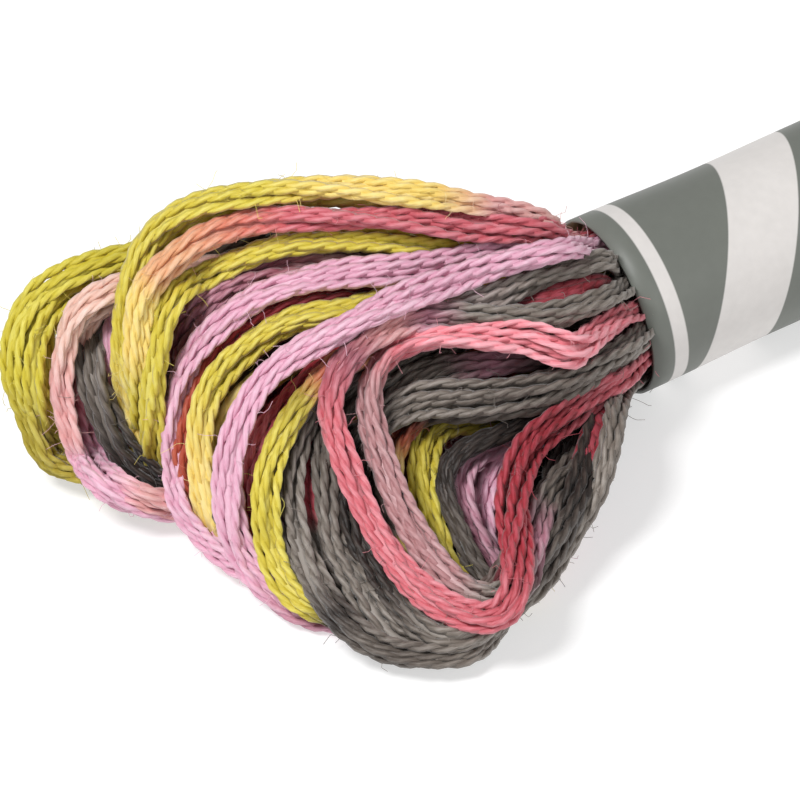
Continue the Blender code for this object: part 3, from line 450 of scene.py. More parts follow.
def turningPoint(turn):
    # a point from its reach, heading and height
    reach, heading, height = turn
    angle = math.radians(heading)
    return (-reach * math.cos(angle), reach * math.sin(angle), height)


rounding = {
    "power": 0.75,             # a span counts by its length to this power, which keeps bends even
    "cuts": 24,                # in each span, before the line is cut into even steps
    "fineStep": 0.1,           # along a settled route that is rounded again
}


def smoothRoute(points, step):
    # a natural cubic spline through the points, cut into even steps
    knots = np.array(points, dtype=float)
    spans = np.linalg.norm(np.diff(knots, axis=0), axis=1) ** rounding["power"]
    count = len(knots)
    system = np.eye(count)
    pull = np.zeros((count, 3))
    for i in range(1, count - 1):
        before, after = spans[i - 1], spans[i]
        system[i, i - 1:i + 2] = before, 2.0 * (before + after), after
        pull[i] = 6.0 * ((knots[i + 1] - knots[i]) / after - (knots[i] - knots[i - 1]) / before)
    bends = np.linalg.solve(system, pull)
    fine = []
    for i in range(count - 1):
        span = spans[i]
        for u in np.linspace(0.0, span, rounding["cuts"], endpoint=False):
            v = span - u
            fine.append((bends[i] * v ** 3 + bends[i + 1] * u ** 3) / (6.0 * span)
                        + (knots[i] / span - bends[i] * span / 6.0) * v
                        + (knots[i + 1] / span - bends[i + 1] * span / 6.0) * u)
    fine.append(knots[-1])
    return evenSteps(np.array(fine), step)


def lengthsAlong(line):
    return np.concatenate([[0.0], np.cumsum(np.linalg.norm(np.diff(line, axis=0), axis=1))])


def evenSteps(line, step):
    along = lengthsAlong(line)
    stops = np.linspace(0.0, along[-1], int(along[-1] / step) + 1)
    return np.stack([np.interp(stops, along, line[:, axis]) for axis in range(3)], axis=1)


def looseness(x):
    # 0 where the band squeezes the flosses, 1 where they lie free
    return np.clip(-x / skein["loosenLength"], 0.0, 1.0)


settle = {
    "rounds": 60,
    "step": 0.6,               # between a route's points
    "touch": 0.74,             # flosses squash, so they touch at this share of their radius
    "ease": 0.7,               # how much of each push is taken
    "crowding": 0.7,           # how far several neighbours at once share a push
    "near": 3.0,               # points farther apart than this never meet
    "held": -0.4,              # points nearer the mouth than this stay where they are
    "smoothings": 2,           # in each round
    "stack": (-0.39, -0.66, 0.64),     # the flosses lie on each other up this slope
}


def settleRoutes(routes):
    # flosses that run into each other are pushed apart, up and down the slope, until they touch
    points = np.concatenate(routes)
    owner = np.concatenate([np.full(len(route), i) for i, route in enumerate(routes)])
    ends = np.cumsum([0] + [len(route) for route in routes])
    home = points.copy()
    stack = np.array(settle["stack"]) / np.linalg.norm(settle["stack"])
    pressed, loose = skein["pressedRadius"], skein["flossRadius"]
    full = pressed + (loose - pressed) * looseness(points[:, 0])
    radius = full * settle["touch"]
    distance = np.linalg.norm(points[:, None, :] - points[None, :, :], axis=2)
    i, j = np.nonzero((distance < settle["near"]) & (owner[:, None] < owner[None, :]))
    reach = radius[i] + radius[j]
    held = points[:, 0] > settle["held"]
    for _ in range(settle["rounds"]):
        gap = points[i] - points[j]
        depth = gap @ stack
        beside = (gap ** 2).sum(axis=1) - depth ** 2
        wanted = np.sqrt(np.maximum(reach ** 2 - beside, 0.0))
        short = np.maximum(wanted - np.abs(depth), 0.0) * np.where(depth < 0.0, -0.5, 0.5)
        touching = (np.abs(short) > 0.0).astype(float)
        push = np.bincount(i, short, len(points)) - np.bincount(j, short, len(points))
        count = np.bincount(i, touching, len(points)) + np.bincount(j, touching, len(points))
        push = np.where(held, 0.0, push / np.maximum(count, 1.0) ** settle["crowding"])
        moved = points + settle["ease"] * push[:, None] * stack - home
        for start, stop in zip(ends, ends[1:]):
            for _ in range(settle["smoothings"]):
                shift = moved[start:stop]
                moved[start + 1:stop - 1] = 0.25 * shift[:-2] + 0.5 * shift[1:-1] + 0.25 * shift[2:]
        points = home + moved
        points[:, 2] = np.maximum(points[:, 2], full)      # no axis lower than its radius
    return np.split(points, ends[1:-1])


def viewAxes():
    # the view's directions to the right and up
    azimuth, elevation = math.radians(view["azimuth"]), math.radians(view["elevation"])
    right = np.array([math.cos(azimuth), math.sin(azimuth), 0.0])
    up = np.array([-math.sin(azimuth) * math.sin(elevation), math.cos(azimuth) * math.sin(elevation),
                   math.cos(elevation)])
    return right, up


def seenPoint(dot):
    # the point of that height which shows at a dot, in millimetres from the mouth
    across, down, height = dot
    right, up = viewAxes()
    aside = (across - view["mouth"][0]) / view["dotsToMm"]
    above = (view["mouth"][1] - down) / view["dotsToMm"] - up[2] * (height - view["mouthHeight"])
    x, y = np.linalg.solve([right[:2], up[:2]], [aside, above])
    return (x, y, height)


def dotsOf(points):
    # where points show in the view
    right, up = viewAxes()
    raised = points - np.array([0.0, 0.0, view["mouthHeight"]])
    return np.stack([view["mouth"][0] + view["dotsToMm"] * points @ right,
                     view["mouth"][1] - view["dotsToMm"] * raised @ up], axis=1)


def nearKnots(row):
    # a floss's points from inside the band, round its loop and back in, and how many come before
    # the first that is placed in the view
    depths = (skein["legDepth"], skein["legDepth"] / 2.0, 0.0)
    out = [mouthPoint(row["leaves"], x) for x in depths]
    back = [mouthPoint(row["enters"], x) for x in depths[::-1]]
    seen = [seenPoint(dot) for dot in row["seen"]]
    tail = [turningPoint(turn) for turn in row.get("tail", [])]
    return np.array(out + seen + tail + back), len(out)


def shareBeside(row, dot):
    # how far along its length a floss passes a dot of the view
    knots, first = nearKnots(row)
    along = lengthsAlong(knots)
    shown = dotsOf(knots)
    passes = []
    for i in range(first, first + len(row["seen"]) - 1):
        run = shown[i + 1] - shown[i]
        part = float(np.clip((dot - shown[i]) @ run / (run @ run), 0.0, 1.0))
        miss = np.linalg.norm(shown[i] + part * run - dot)
        passes.append((miss, (along[i] + part * (along[i + 1] - along[i])) / along[-1]))
    return min(passes)[1]


def sharesOf(row, entries):
    # each entry's share of the length and its value, whichever way it was placed
    placed = []
    for *place, value in entries:
        share = place[0] if len(place) == 1 else shareBeside(row, np.array(place))
        placed.append((share, value))
    return placed


def dyeAlong(zones, count):
    # the colour at each step, blended from zone to zone
    shares = [share for share, _ in zones]
    colours = np.array([linear(dyes[name]) for _, name in zones])
    place = np.linspace(0.0, 1.0, count)
    return np.stack([np.interp(place, shares, colours[:, channel]) for channel in range(3)], axis=1)


def addLayer(mesh, title, values):
    # one number or one colour for each point of a mesh
    values = np.array(values, dtype=np.float32)
    if values.ndim == 1:
        mesh.attributes.new(title, "FLOAT", "POINT").data.foreach_set("value", values)
    else:
        filled = np.column_stack([values, np.ones(len(values), dtype=np.float32)])
        mesh.attributes.new(title, "FLOAT_COLOR", "POINT").data.foreach_set("color", filled.ravel())


def addObject(name, data):
    thing = bpy.data.objects.new(name, data)
    bpy.context.scene.collection.objects.link(thing)
    return thing


def routesMesh(name, flosses, step):
    # one polyline for each floss, carrying what the spinning tree reads
    places, edges, colours, alongs, squeezes, opened, numbers = [], [], [], [], [], [], []
    for floss in flosses:
        line = evenSteps(smoothRoute(floss["route"], rounding["fineStep"]), step)
        first, count = len(places), len(line)
        places += [(x * mm, y * mm, z * mm) for x, y, z in line + np.array([skein["mouth"], 0.0, 0.0])]
        edges += [(first + i, first + i + 1) for i in range(count - 1)]
        colours += dyeAlong(floss["dyes"], count).tolist()
        alongs += (np.arange(count) * step).tolist()
        squeezes += floss["squeeze"](line).tolist()
        opened += np.interp(np.linspace(0.0, 1.0, count), *zip(*floss["opens"])).tolist()
        numbers += [floss["number"]] * count
    mesh = bpy.data.meshes.new(name)
    mesh.from_pydata(places, edges, [])
    addLayer(mesh, "dye", colours)
    addLayer(mesh, "along", alongs)
    addLayer(mesh, "squeeze", squeezes)
    addLayer(mesh, "open", opened)
    addLayer(mesh, "floss", numbers)
    return addObject(name, mesh)


def newTree(name, inputs):
    # a geometry tree, with its inputs' outlets and its result's inlet
    tree = bpy.data.node_groups.new(name, "GeometryNodeTree")
    tree.interface.new_socket("Geometry", in_out="INPUT", socket_type="NodeSocketGeometry")
    for title, kind in inputs.items():
        tree.interface.new_socket(title, in_out="INPUT", socket_type="NodeSocket" + kind)
    tree.interface.new_socket("Geometry", in_out="OUTPUT", socket_type="NodeSocketGeometry")
    return tree, tree.nodes.new("NodeGroupInput").outputs, tree.nodes.new("NodeGroupOutput").inputs[0]


def addNode(tree, kind, sockets=None, **settings):
    # sockets maps an input's name or number to a value or to another node's output
    node = tree.nodes.new(kind)
    for setting, value in settings.items():
        setattr(node, setting, value)
    for key, value in (sockets or {}).items():
        if isinstance(value, bpy.types.NodeSocket):
            tree.links.new(value, node.inputs[key])
        else:
            node.inputs[key].default_value = value
    return node


def mathNode(tree, operation, a, b=0.0, c=0.0):
    return addNode(tree, "ShaderNodeMath", {0: a, 1: b, 2: c}, operation=operation).outputs[0]


def times(tree, first, *others):
    # a value multiplied by each of the others in turn
    for other in others:
        first = mathNode(tree, "MULTIPLY", first, other)
    return first


def timesPlus(tree, a, b, c):
    return mathNode(tree, "MULTIPLY_ADD", a, b, c)


def vectorNode(tree, operation, a, b=None, scale=None):
    sockets = {0: a}
    if b is not None:
        sockets[1] = b
    if scale is not None:
        sockets["Scale"] = scale
    return addNode(tree, "ShaderNodeVectorMath", sockets, operation=operation).outputs[0]


def vectorOf(tree, x, y, z=0.0):
    return addNode(tree, "ShaderNodeCombineXYZ", {0: x, 1: y, 2: z}).outputs[0]


def noise(tree, place, scale=1.0, detail=0.0, roughness=0.5):
    # its outlets: a value from 0 to 1, then a colour of three such values
    return addNode(tree, "ShaderNodeTexNoise", {
        "Vector": place, "Scale": scale, "Detail": detail, "Roughness": roughness}).outputs


def ramp(tree, value, low, high, start=0.0, end=1.0, soft=False):
    # from start, where the value is low, to end, where it is high
    kind = "SMOOTHSTEP" if soft else "LINEAR"
    sockets = {0: value, 1: low, 2: high, 3: start, 4: end}
    return addNode(tree, "ShaderNodeMapRange", sockets, interpolation_type=kind).outputs[0]


def named(tree, title, kind="FLOAT"):
    return addNode(tree, "GeometryNodeInputNamedAttribute", {"Name": title}, data_type=kind).outputs[0]


def position(tree):
    return addNode(tree, "GeometryNodeInputPosition").outputs[0]


def store(tree, geometry, title, value, kind="FLOAT", domain="POINT"):
    return addNode(tree, "GeometryNodeStoreNamedAttribute", {
        "Geometry": geometry, "Name": title, "Value": value}, data_type=kind, domain=domain).outputs[0]


def forget(tree, geometry, *titles):
    for title in titles:
        sockets = {"Geometry": geometry, "Name": title}
        geometry = addNode(tree, "GeometryNodeRemoveAttribute", sockets).outputs[0]
    return geometry


def copies(tree, curves, count, title):
    # each curve as many times as asked for, with the copy's number kept under the title
    many = addNode(tree, "GeometryNodeDuplicateElements", {"Geometry": curves, "Amount": count},
                   domain="SPLINE").outputs
    return store(tree, many[0], title, many[1], domain="CURVE")


def join(tree, *parts):
    joined = addNode(tree, "GeometryNodeJoinGeometry")
    for part in parts:
        tree.links.new(part, joined.inputs[0])
    return joined.outputs[0]


def finishTree(tree, geometry, given, result):
    real = addNode(tree, "GeometryNodeRealizeInstances", {"Geometry": geometry})
    dyed = addNode(tree, "GeometryNodeSetMaterial", {
        "Geometry": real.outputs[0], "Material": given["Material"]})
    tree.links.new(dyed.outputs[0], result)
    return tree


def aroundCurve(tree, angle, distance, flat=1.0, roll=0.0):
    # an offset square to the curve, at an angle round a circle that is squashed flat and then rolled
    normal = addNode(tree, "GeometryNodeInputNormal").outputs[0]
    tangent = addNode(tree, "GeometryNodeInputTangent").outputs[0]
    binormal = vectorNode(tree, "CROSS_PRODUCT", tangent, normal)
    across = times(tree, mathNode(tree, "COSINE", angle), distance)
    up = times(tree, mathNode(tree, "SINE", angle), distance, flat)
    rolled = addNode(tree, "ShaderNodeVectorRotate", {"Vector": vectorOf(tree, across, up), "Angle": roll},
                     rotation_type="Z_AXIS")
    place = addNode(tree, "ShaderNodeSeparateXYZ", {0: rolled.outputs[0]}).outputs
    return vectorNode(tree, "ADD", vectorNode(tree, "SCALE", normal, scale=place[0]),
                      vectorNode(tree, "SCALE", binormal, scale=place[1]))


def moveBy(tree, geometry, offset):
    return addNode(tree, "GeometryNodeSetPosition", {"Geometry": geometry, "Offset": offset}).outputs[0]


def keepPlace(tree, geometry, title):
    # remember where a line runs before anything winds round it
    return store(tree, geometry, title, position(tree), "FLOAT_VECTOR")


def awayFrom(tree, title):
    return addNode(tree, "ShaderNodeVectorMath", {0: position(tree), 1: named(tree, title, "FLOAT_VECTOR")},
                   operation="DISTANCE").outputs["Value"]


spin = {
    "step": 0.33,              # between the rings of a ply near the mouth
    "near": {"Strands": 7, "Strand Spread": 0.56 * mm, "Flatness": 0.64, "Roll": 2.2,
             "Floss Twist": 0.25, "Wander": 0.34 * mm, "Plies": 2, "Ply Spread": 0.075 * mm,
             "Ply Radius": 0.138 * mm, "Ply Pitch": 1.75, "Core Radius": 0.24 * mm, "Sides": 4},
    "deepStep": 0.5,
    "deep": {"Strands": 6, "Strand Spread": 0.5 * mm, "Flatness": 0.7, "Roll": 2.2,
             "Floss Twist": 0.25, "Wander": 0.3 * mm, "Plies": 1, "Ply Spread": 0.0,
             "Ply Radius": 0.23 * mm, "Ply Pitch": 1.3, "Core Radius": 0.34 * mm, "Sides": 6},
    "nextStrand": 2.4,         # radians round a floss from one strand to the next
    "wanderPace": 0.22,        # how fast the strands wander, for each mm along
    "rollPace": 0.09,          # and how fast a flat floss rolls over
    "strandApart": 5.3, "flossApart": 3.7,     # set the strands' and the flosses' wandering apart
    "strandStart": 1.9, "flossStart": 2.3,     # and where round a strand its plies start
    "unevenLay": 5.0,          # radians by which the plies run ahead or behind
    "innerBulge": 0.5,         # a strand at its floss's axis bulges this much against one at its skin, which sets how much painted shade the inner strands get
}


def strandNoise(tree):
    # wanders along each strand, differently from strand to strand and floss to floss
    place = vectorOf(tree, times(tree, named(tree, "along"), spin["wanderPace"]),
                     times(tree, named(tree, "strand"), spin["strandApart"]),
                     times(tree, named(tree, "floss"), spin["flossApart"]))
    return noise(tree, place, detail=1.0)


def layStrands(tree, axes, given):
    # strands side by side round each floss's axis, in a flattened bunch that rolls over along it
    along, squeeze, strand = named(tree, "along"), named(tree, "squeeze"), named(tree, "strand")
    angle = timesPlus(tree, strand, spin["nextStrand"], times(tree, along, given["Floss Twist"]))
    filled = mathNode(tree, "DIVIDE", mathNode(tree, "ADD", strand, 0.5), given["Strands"])
    spread = times(tree, times(tree, given["Strand Spread"], squeeze),
                   times(tree, named(tree, "open"), mathNode(tree, "SQRT", filled)))
    sway = vectorNode(tree, "SUBTRACT", strandNoise(tree)["Color"], (0.5, 0.5, 0.5))
    sway = vectorNode(tree, "SCALE", sway, scale=times(tree, given["Wander"], squeeze))
    slow = vectorOf(tree, times(tree, along, spin["rollPace"]),
                    times(tree, named(tree, "floss"), spin["flossApart"]))
    roll = times(tree, mathNode(tree, "SUBTRACT", noise(tree, slow)[0], 0.5), given["Roll"])
    offset = vectorNode(tree, "ADD", aroundCurve(tree, angle, spread, given["Flatness"], roll), sway)
    return moveBy(tree, copies(tree, axes, given["Strands"], "strand"), offset)


def windPlies(tree, strands, given):
    # plies wound round each strand, with a left-hand lay
    wind = times(tree, mathNode(tree, "DIVIDE", named(tree, "along"), given["Ply Pitch"]), -2.0 * math.pi)
    start = timesPlus(tree, named(tree, "strand"), spin["strandStart"],
                      times(tree, named(tree, "floss"), spin["flossStart"]))
    slip = times(tree, strandNoise(tree)[0], spin["unevenLay"])
    angle = timesPlus(tree, named(tree, "ply"), math.pi,
                      mathNode(tree, "ADD", wind, mathNode(tree, "ADD", start, slip)))
    offset = aroundCurve(tree, angle, times(tree, given["Ply Spread"], named(tree, "squeeze")))
    return moveBy(tree, copies(tree, strands, given["Plies"], "ply"), offset)


def tubes(tree, curves, radius, rim):
    thick = times(tree, radius, named(tree, "squeeze"))
    return addNode(tree, "GeometryNodeCurveToMesh", {
        "Curve": curves, "Profile Curve": rim, "Scale": thick, "Fill Caps": True}).outputs[0]


def spinningTree():
    # each route becomes a floss: strands round it, plies round each strand, a tube for each ply
    tree, given, result = newTree("spinFloss", {
        "Strands": "Int", "Strand Spread": "Float", "Floss Twist": "Float", "Flatness": "Float",
        "Roll": "Float", "Wander": "Float", "Plies": "Int", "Ply Spread": "Float",
        "Ply Radius": "Float", "Ply Pitch": "Float", "Core Radius": "Float", "Sides": "Int",
        "Material": "Material"})
    routes = addNode(tree, "GeometryNodeMeshToCurve", {"Mesh": given["Geometry"]}).outputs[0]
    axes = keepPlace(tree, routes, "flossAxis")
    strands = keepPlace(tree, layStrands(tree, axes, given), "strandAxis")
    plies = windPlies(tree, strands, given)
    ring = addNode(tree, "GeometryNodeCurvePrimitiveCircle", {"Resolution": given["Sides"], "Radius": 1.0})
    rim = keepPlace(tree, ring.outputs[0], "rim")
    both = join(tree, tubes(tree, plies, given["Ply Radius"], rim),
                tubes(tree, axes, given["Core Radius"], rim))
    smooth = addNode(tree, "GeometryNodeSetShadeSmooth", {"Geometry": both}).outputs[0]
    # how far out of its strand and its floss a point lies, which the cotton turns into painted shade in the
    # hollows and painted highlight on the crests
    squeeze = named(tree, "squeeze")
    width = mathNode(tree, "ADD", given["Ply Spread"], given["Ply Radius"])
    reach = mathNode(tree, "ADD", given["Strand Spread"], width)
    inStrand = mathNode(tree, "DIVIDE", awayFrom(tree, "strandAxis"), times(tree, width, squeeze))
    inFloss = mathNode(tree, "DIVIDE", awayFrom(tree, "flossAxis"), times(tree, reach, squeeze))
    innerBulge = spin["innerBulge"]
    bulge = times(tree, inStrand, timesPlus(tree, inFloss, 1.0 - innerBulge, innerBulge))
    shaded = store(tree, smooth, "bulge", bulge)
    lean = forget(tree, shaded, "flossAxis", "strandAxis", "squeeze", "open")
    return finishTree(tree, lean, given, result)


fuzz = {
    "values": {"Density": 0.8 / mm ** 2, "Length": 0.9 * mm, "Curl": 1.1 * mm, "Curl Scale": 1.8 / mm,
               "Thickness": 0.011 * mm, "Seed": 11},
    "crest": (0.55, 0.9),      # fibres grow where the bulge is more than the first, most past the second
    "points": 5,               # along a fibre
    "lean": (1.2, 1.2, 3.1), "leanSeed": 3,    # radians either way
    "shortest": 0.25, "sizeSeed": 5,
    "bulge": 1.1,              # as pale as a crest, which gives the fibres the crests' painted highlight
}


def fibreStem(tree):
    # a straight fibre of length 1, marked from 0 at its root to 1 at its tip
    line = addNode(tree, "GeometryNodeCurvePrimitiveLine", {"End": (0.0, 0.0, 1.0)}).outputs[0]
    stepped = addNode(tree, "GeometryNodeResampleCurve", {"Curve": line, "Count": fuzz["points"]})
    tip = addNode(tree, "GeometryNodeSplineParameter").outputs["Factor"]
    return store(tree, stepped.outputs[0], "tip", tip)


def fuzzTree():
    # short curled fibres standing off the surface of a piece, which keeps its own surface too
    tree, given, result = newTree("fuzz", {
        "Density": "Float", "Length": "Float", "Curl": "Float", "Curl Scale": "Float",
        "Thickness": "Float", "Seed": "Int", "Material": "Material"})
    outer = ramp(tree, named(tree, "bulge"), *fuzz["crest"])
    roots = addNode(tree, "GeometryNodeDistributePointsOnFaces", {
        "Mesh": given["Geometry"], "Seed": given["Seed"],
        "Density": times(tree, outer, given["Density"])}).outputs
    least = tuple(-turn for turn in fuzz["lean"])
    lean = addNode(tree, "FunctionNodeRandomValue", {0: least, 1: fuzz["lean"], "Seed": fuzz["leanSeed"]},
                   data_type="FLOAT_VECTOR")
    turned = addNode(tree, "FunctionNodeRotateEuler", {0: roots["Rotation"], 1: lean.outputs[0]},
                     space="LOCAL")
    size = addNode(tree, "FunctionNodeRandomValue", {2: fuzz["shortest"], 3: 1.0, "Seed": fuzz["sizeSeed"]},
                   data_type="FLOAT").outputs[1]
    placed = addNode(tree, "GeometryNodeInstanceOnPoints", {
        "Points": roots["Points"], "Instance": fibreStem(tree), "Rotation": turned.outputs[0],
        "Scale": times(tree, size, given["Length"])})
    loose = addNode(tree, "GeometryNodeRealizeInstances", {"Geometry": placed.outputs[0]})
    bend = noise(tree, position(tree), given["Curl Scale"])["Color"]
    swing = vectorNode(tree, "SUBTRACT", bend, (0.5, 0.5, 0.5))
    swing = vectorNode(tree, "SCALE", swing, scale=times(tree, named(tree, "tip"), given["Curl"]))
    ring = addNode(tree, "GeometryNodeCurvePrimitiveCircle", {"Resolution": 3, "Radius": 1.0})
    hairs = addNode(tree, "GeometryNodeCurveToMesh", {
        "Curve": moveBy(tree, loose.outputs[0], swing), "Profile Curve": ring.outputs[0],
        "Scale": given["Thickness"]})
    pale = forget(tree, store(tree, hairs.outputs[0], "bulge", fuzz["bulge"]), "tip")
    return finishTree(tree, join(tree, pale, given["Geometry"]), given, result)


def grow(base, tree, values, name):
    # run a tree on an object and keep the result as a plain mesh
    modifier = base.modifiers.new(tree.name, "NODES")
    modifier.node_group = tree
    for item in tree.interface.items_tree:
        if item.in_out == "INPUT" and item.name in values:
            modifier[item.identifier] = values[item.name]
    bpy.context.view_layer.update()
    evaluated = base.evaluated_get(bpy.context.evaluated_depsgraph_get())
    mesh = bpy.data.meshes.new_from_object(evaluated)
    mesh.name = name
    base.modifiers.clear()
    return addObject(name, mesh)


def attribute(tree, title, output):
    return addNode(tree, "ShaderNodeAttribute", attribute_name=title).outputs[output]


yarn = {
    "pace": 0.8,               # how fast the fibres and the clouds of dye change, for each mm along
    "fibreDetail": 3.0, "fibreRoughness": 0.75, "cloudDetail": 2.0,
    # the groove value darkens the grooves between plies as painted shade
    "fibreHeight": 0.8, "fibreTone": 2.0, "cloudTone": 0.9, "grooveShade": 0.8,
    "grooveSharpness": 0.6,
    "crest": (0.4, 0.95),      # the bulges where the painted shade of a hollow ends and where the painted highlight of a crest is full
    "apart": {"strand": 3.1, "ply": 1.7, "floss": 9.3},    # set the patterns of plies apart
}


def yarnGrainAndShade():
    # fibres lying along each ply, and for strands spun as one tube the grooves between their plies; its
    # Shade also paints shade in the hollows and grooves and a highlight on the crests
    tree = bpy.data.node_groups.new("yarnGrainAndShade", "ShaderNodeTree")
    for title in ("Fibre Scale", "Fibre Slant", "Groove Pitch", "Groove"):
        tree.interface.new_socket(title, in_out="INPUT", socket_type="NodeSocketFloat")
    for title in ("Height", "Shade"):
        tree.interface.new_socket(title, in_out="OUTPUT", socket_type="NodeSocketFloat")
    given, result = tree.nodes.new("NodeGroupInput").outputs, tree.nodes.new("NodeGroupOutput").inputs
    rim = addNode(tree, "ShaderNodeSeparateXYZ", {0: attribute(tree, "rim", "Vector")}).outputs
    along = attribute(tree, "along", "Fac")
    spot = times(tree, attribute(tree, "floss", "Fac"), yarn["apart"]["floss"])
    for title in ("ply", "strand"):
        spot = timesPlus(tree, attribute(tree, title, "Fac"), yarn["apart"][title], spot)
    # the fibres slant back across each ply
    around = mathNode(tree, "ARCTAN2", rim[1], rim[0])
    slant = timesPlus(tree, along, given["Fibre Slant"], around)
    streak = vectorOf(tree, mathNode(tree, "COSINE", slant), mathNode(tree, "SINE", slant),
                      timesPlus(tree, along, yarn["pace"], spot))
    fibres = noise(tree, streak, given["Fibre Scale"], yarn["fibreDetail"], yarn["fibreRoughness"])[0]
    cloud = vectorOf(tree, spot, times(tree, along, yarn["pace"]))
    clouds = noise(tree, cloud, detail=yarn["cloudDetail"])[0]
    # two grooves wind round a strand, half a turn apart
    lay = times(tree, mathNode(tree, "DIVIDE", along, given["Groove Pitch"]), 4.0 * math.pi)
    wound = times(tree, mathNode(tree, "ADD", times(tree, around, 2.0), lay), 0.5)
    groove = mathNode(tree, "POWER", mathNode(tree, "ABSOLUTE", mathNode(tree, "SINE", wound)),
                      yarn["grooveSharpness"])
    deep = times(tree, given["Groove"], mathNode(tree, "SUBTRACT", groove, 1.0))
    height = timesPlus(tree, fibres, yarn["fibreHeight"], deep)
    # paler with a painted highlight on the crests and deeper with painted shade in the hollows and grooves
    tone = mathNode(tree, "ADD", ramp(tree, attribute(tree, "bulge", "Fac"), *yarn["crest"], soft=True),
                    timesPlus(tree, fibres, yarn["fibreTone"], -0.5 * yarn["fibreTone"]))
    tone = mathNode(tree, "ADD", tone, timesPlus(tree, clouds, yarn["cloudTone"], -0.5 * yarn["cloudTone"]))
    tone = mathNode(tree, "ADD", tone, times(tree, deep, yarn["grooveShade"]))
    tree.links.new(height, result["Height"])
    tree.links.new(tone, result["Shade"])
    return tree


def newMaterial(name, roughness, specular):
    material = bpy.data.materials.new(name)
    material.use_nodes = True
    shader = material.node_tree.nodes["Principled BSDF"]
    shader.inputs["Roughness"].default_value = roughness
    shader.inputs["Specular IOR Level"].default_value = specular
    return material, material.node_tree, shader


cotton = {
    "near": {"grain": {"Fibre Scale": 1.3, "Fibre Slant": 2.4, "Groove Pitch": 1.3, "Groove": 0.0},
             "bump": 0.9, "bumpDepth": 0.05},
    "far": {"grain": {"Fibre Scale": 2.6, "Fibre Slant": 1.2, "Groove Pitch": 1.3, "Groove": 1.0},
            "bump": 0.8, "bumpDepth": 0.06},
    "roughness": 0.5, "specular": 0.4, "sheen": 0.2, "sheenRoughness": 0.4,
    "hollow": 1.22, "crest": 0.78,     # powers that darken the dye as painted shade in the hollows and pale it as painted highlight on the crests
}


def cottonMaterial(name, grain, values):
    material, tree, shader = newMaterial(name, cotton["roughness"], cotton["specular"])
    fine = addNode(tree, "ShaderNodeGroup", node_tree=grain)
    for title, value in values["grain"].items():
        fine.inputs[title].default_value = value
    # the dye is darkened by painted shade in the hollows and paled by painted highlight on the crests
    depth = ramp(tree, fine.outputs["Shade"], 0.0, 1.0, cotton["hollow"], cotton["crest"])
    dye = attribute(tree, "dye", "Color")
    colour = addNode(tree, "ShaderNodeGamma", {"Color": dye, "Gamma": depth}).outputs[0]
    tree.links.new(colour, shader.inputs["Base Color"])
    bump = addNode(tree, "ShaderNodeBump", {
        "Height": fine.outputs["Height"], "Strength": values["bump"], "Distance": values["bumpDepth"] * mm})
    tree.links.new(bump.outputs[0], shader.inputs["Normal"])
    shader.inputs["Sheen Weight"].default_value = cotton["sheen"]
    shader.inputs["Sheen Roughness"].default_value = cotton["sheenRoughness"]
    return material


def nearSqueeze(line):
    # a floss's thickness against its loose one, which the band presses down near the mouth
    return skein["nearPress"] + (1.0 - skein["nearPress"]) * looseness(line[:, 0])


def buildNearLoops(spinning, fuzzing, material, deepMaterial):
    flosses = []
    for group, rows in nearLoops.items():
        for row in rows:
            flosses.append({"group": group, "route": smoothRoute(nearKnots(row)[0], settle["step"]),
                            "dyes": sharesOf(row, row["dyes"]),
                            "opens": sharesOf(row, row.get("opens", [(0.0, 1.0)]))})
    settled = settleRoutes([floss["route"] for floss in flosses])
    print("settled", len(settled), "near flosses")
    for number, (floss, route) in enumerate(zip(flosses, settled)):
        floss.update(route=route, number=number, squeeze=nearSqueeze)
    built = []
    for group in nearLoops:
        members = [floss for floss in flosses if floss["group"] == group]
        if group == "deepLoops":
            routes = routesMesh(group + "Routes", members, spin["deepStep"])
            built.append(grow(routes, spinning, dict(spin["deep"], Material=deepMaterial), group))
        else:
            routes = routesMesh(group + "Routes", members, spin["step"])
            bare = grow(routes, spinning, dict(spin["near"], Material=material), group + "Bare")
            built.append(grow(bare, fuzzing, dict(fuzz["values"], Material=material), group))
            bpy.data.objects.remove(bare)
        bpy.data.objects.remove(routes)
        print("spun", group, len(built[-1].data.polygons), "faces")
    return built


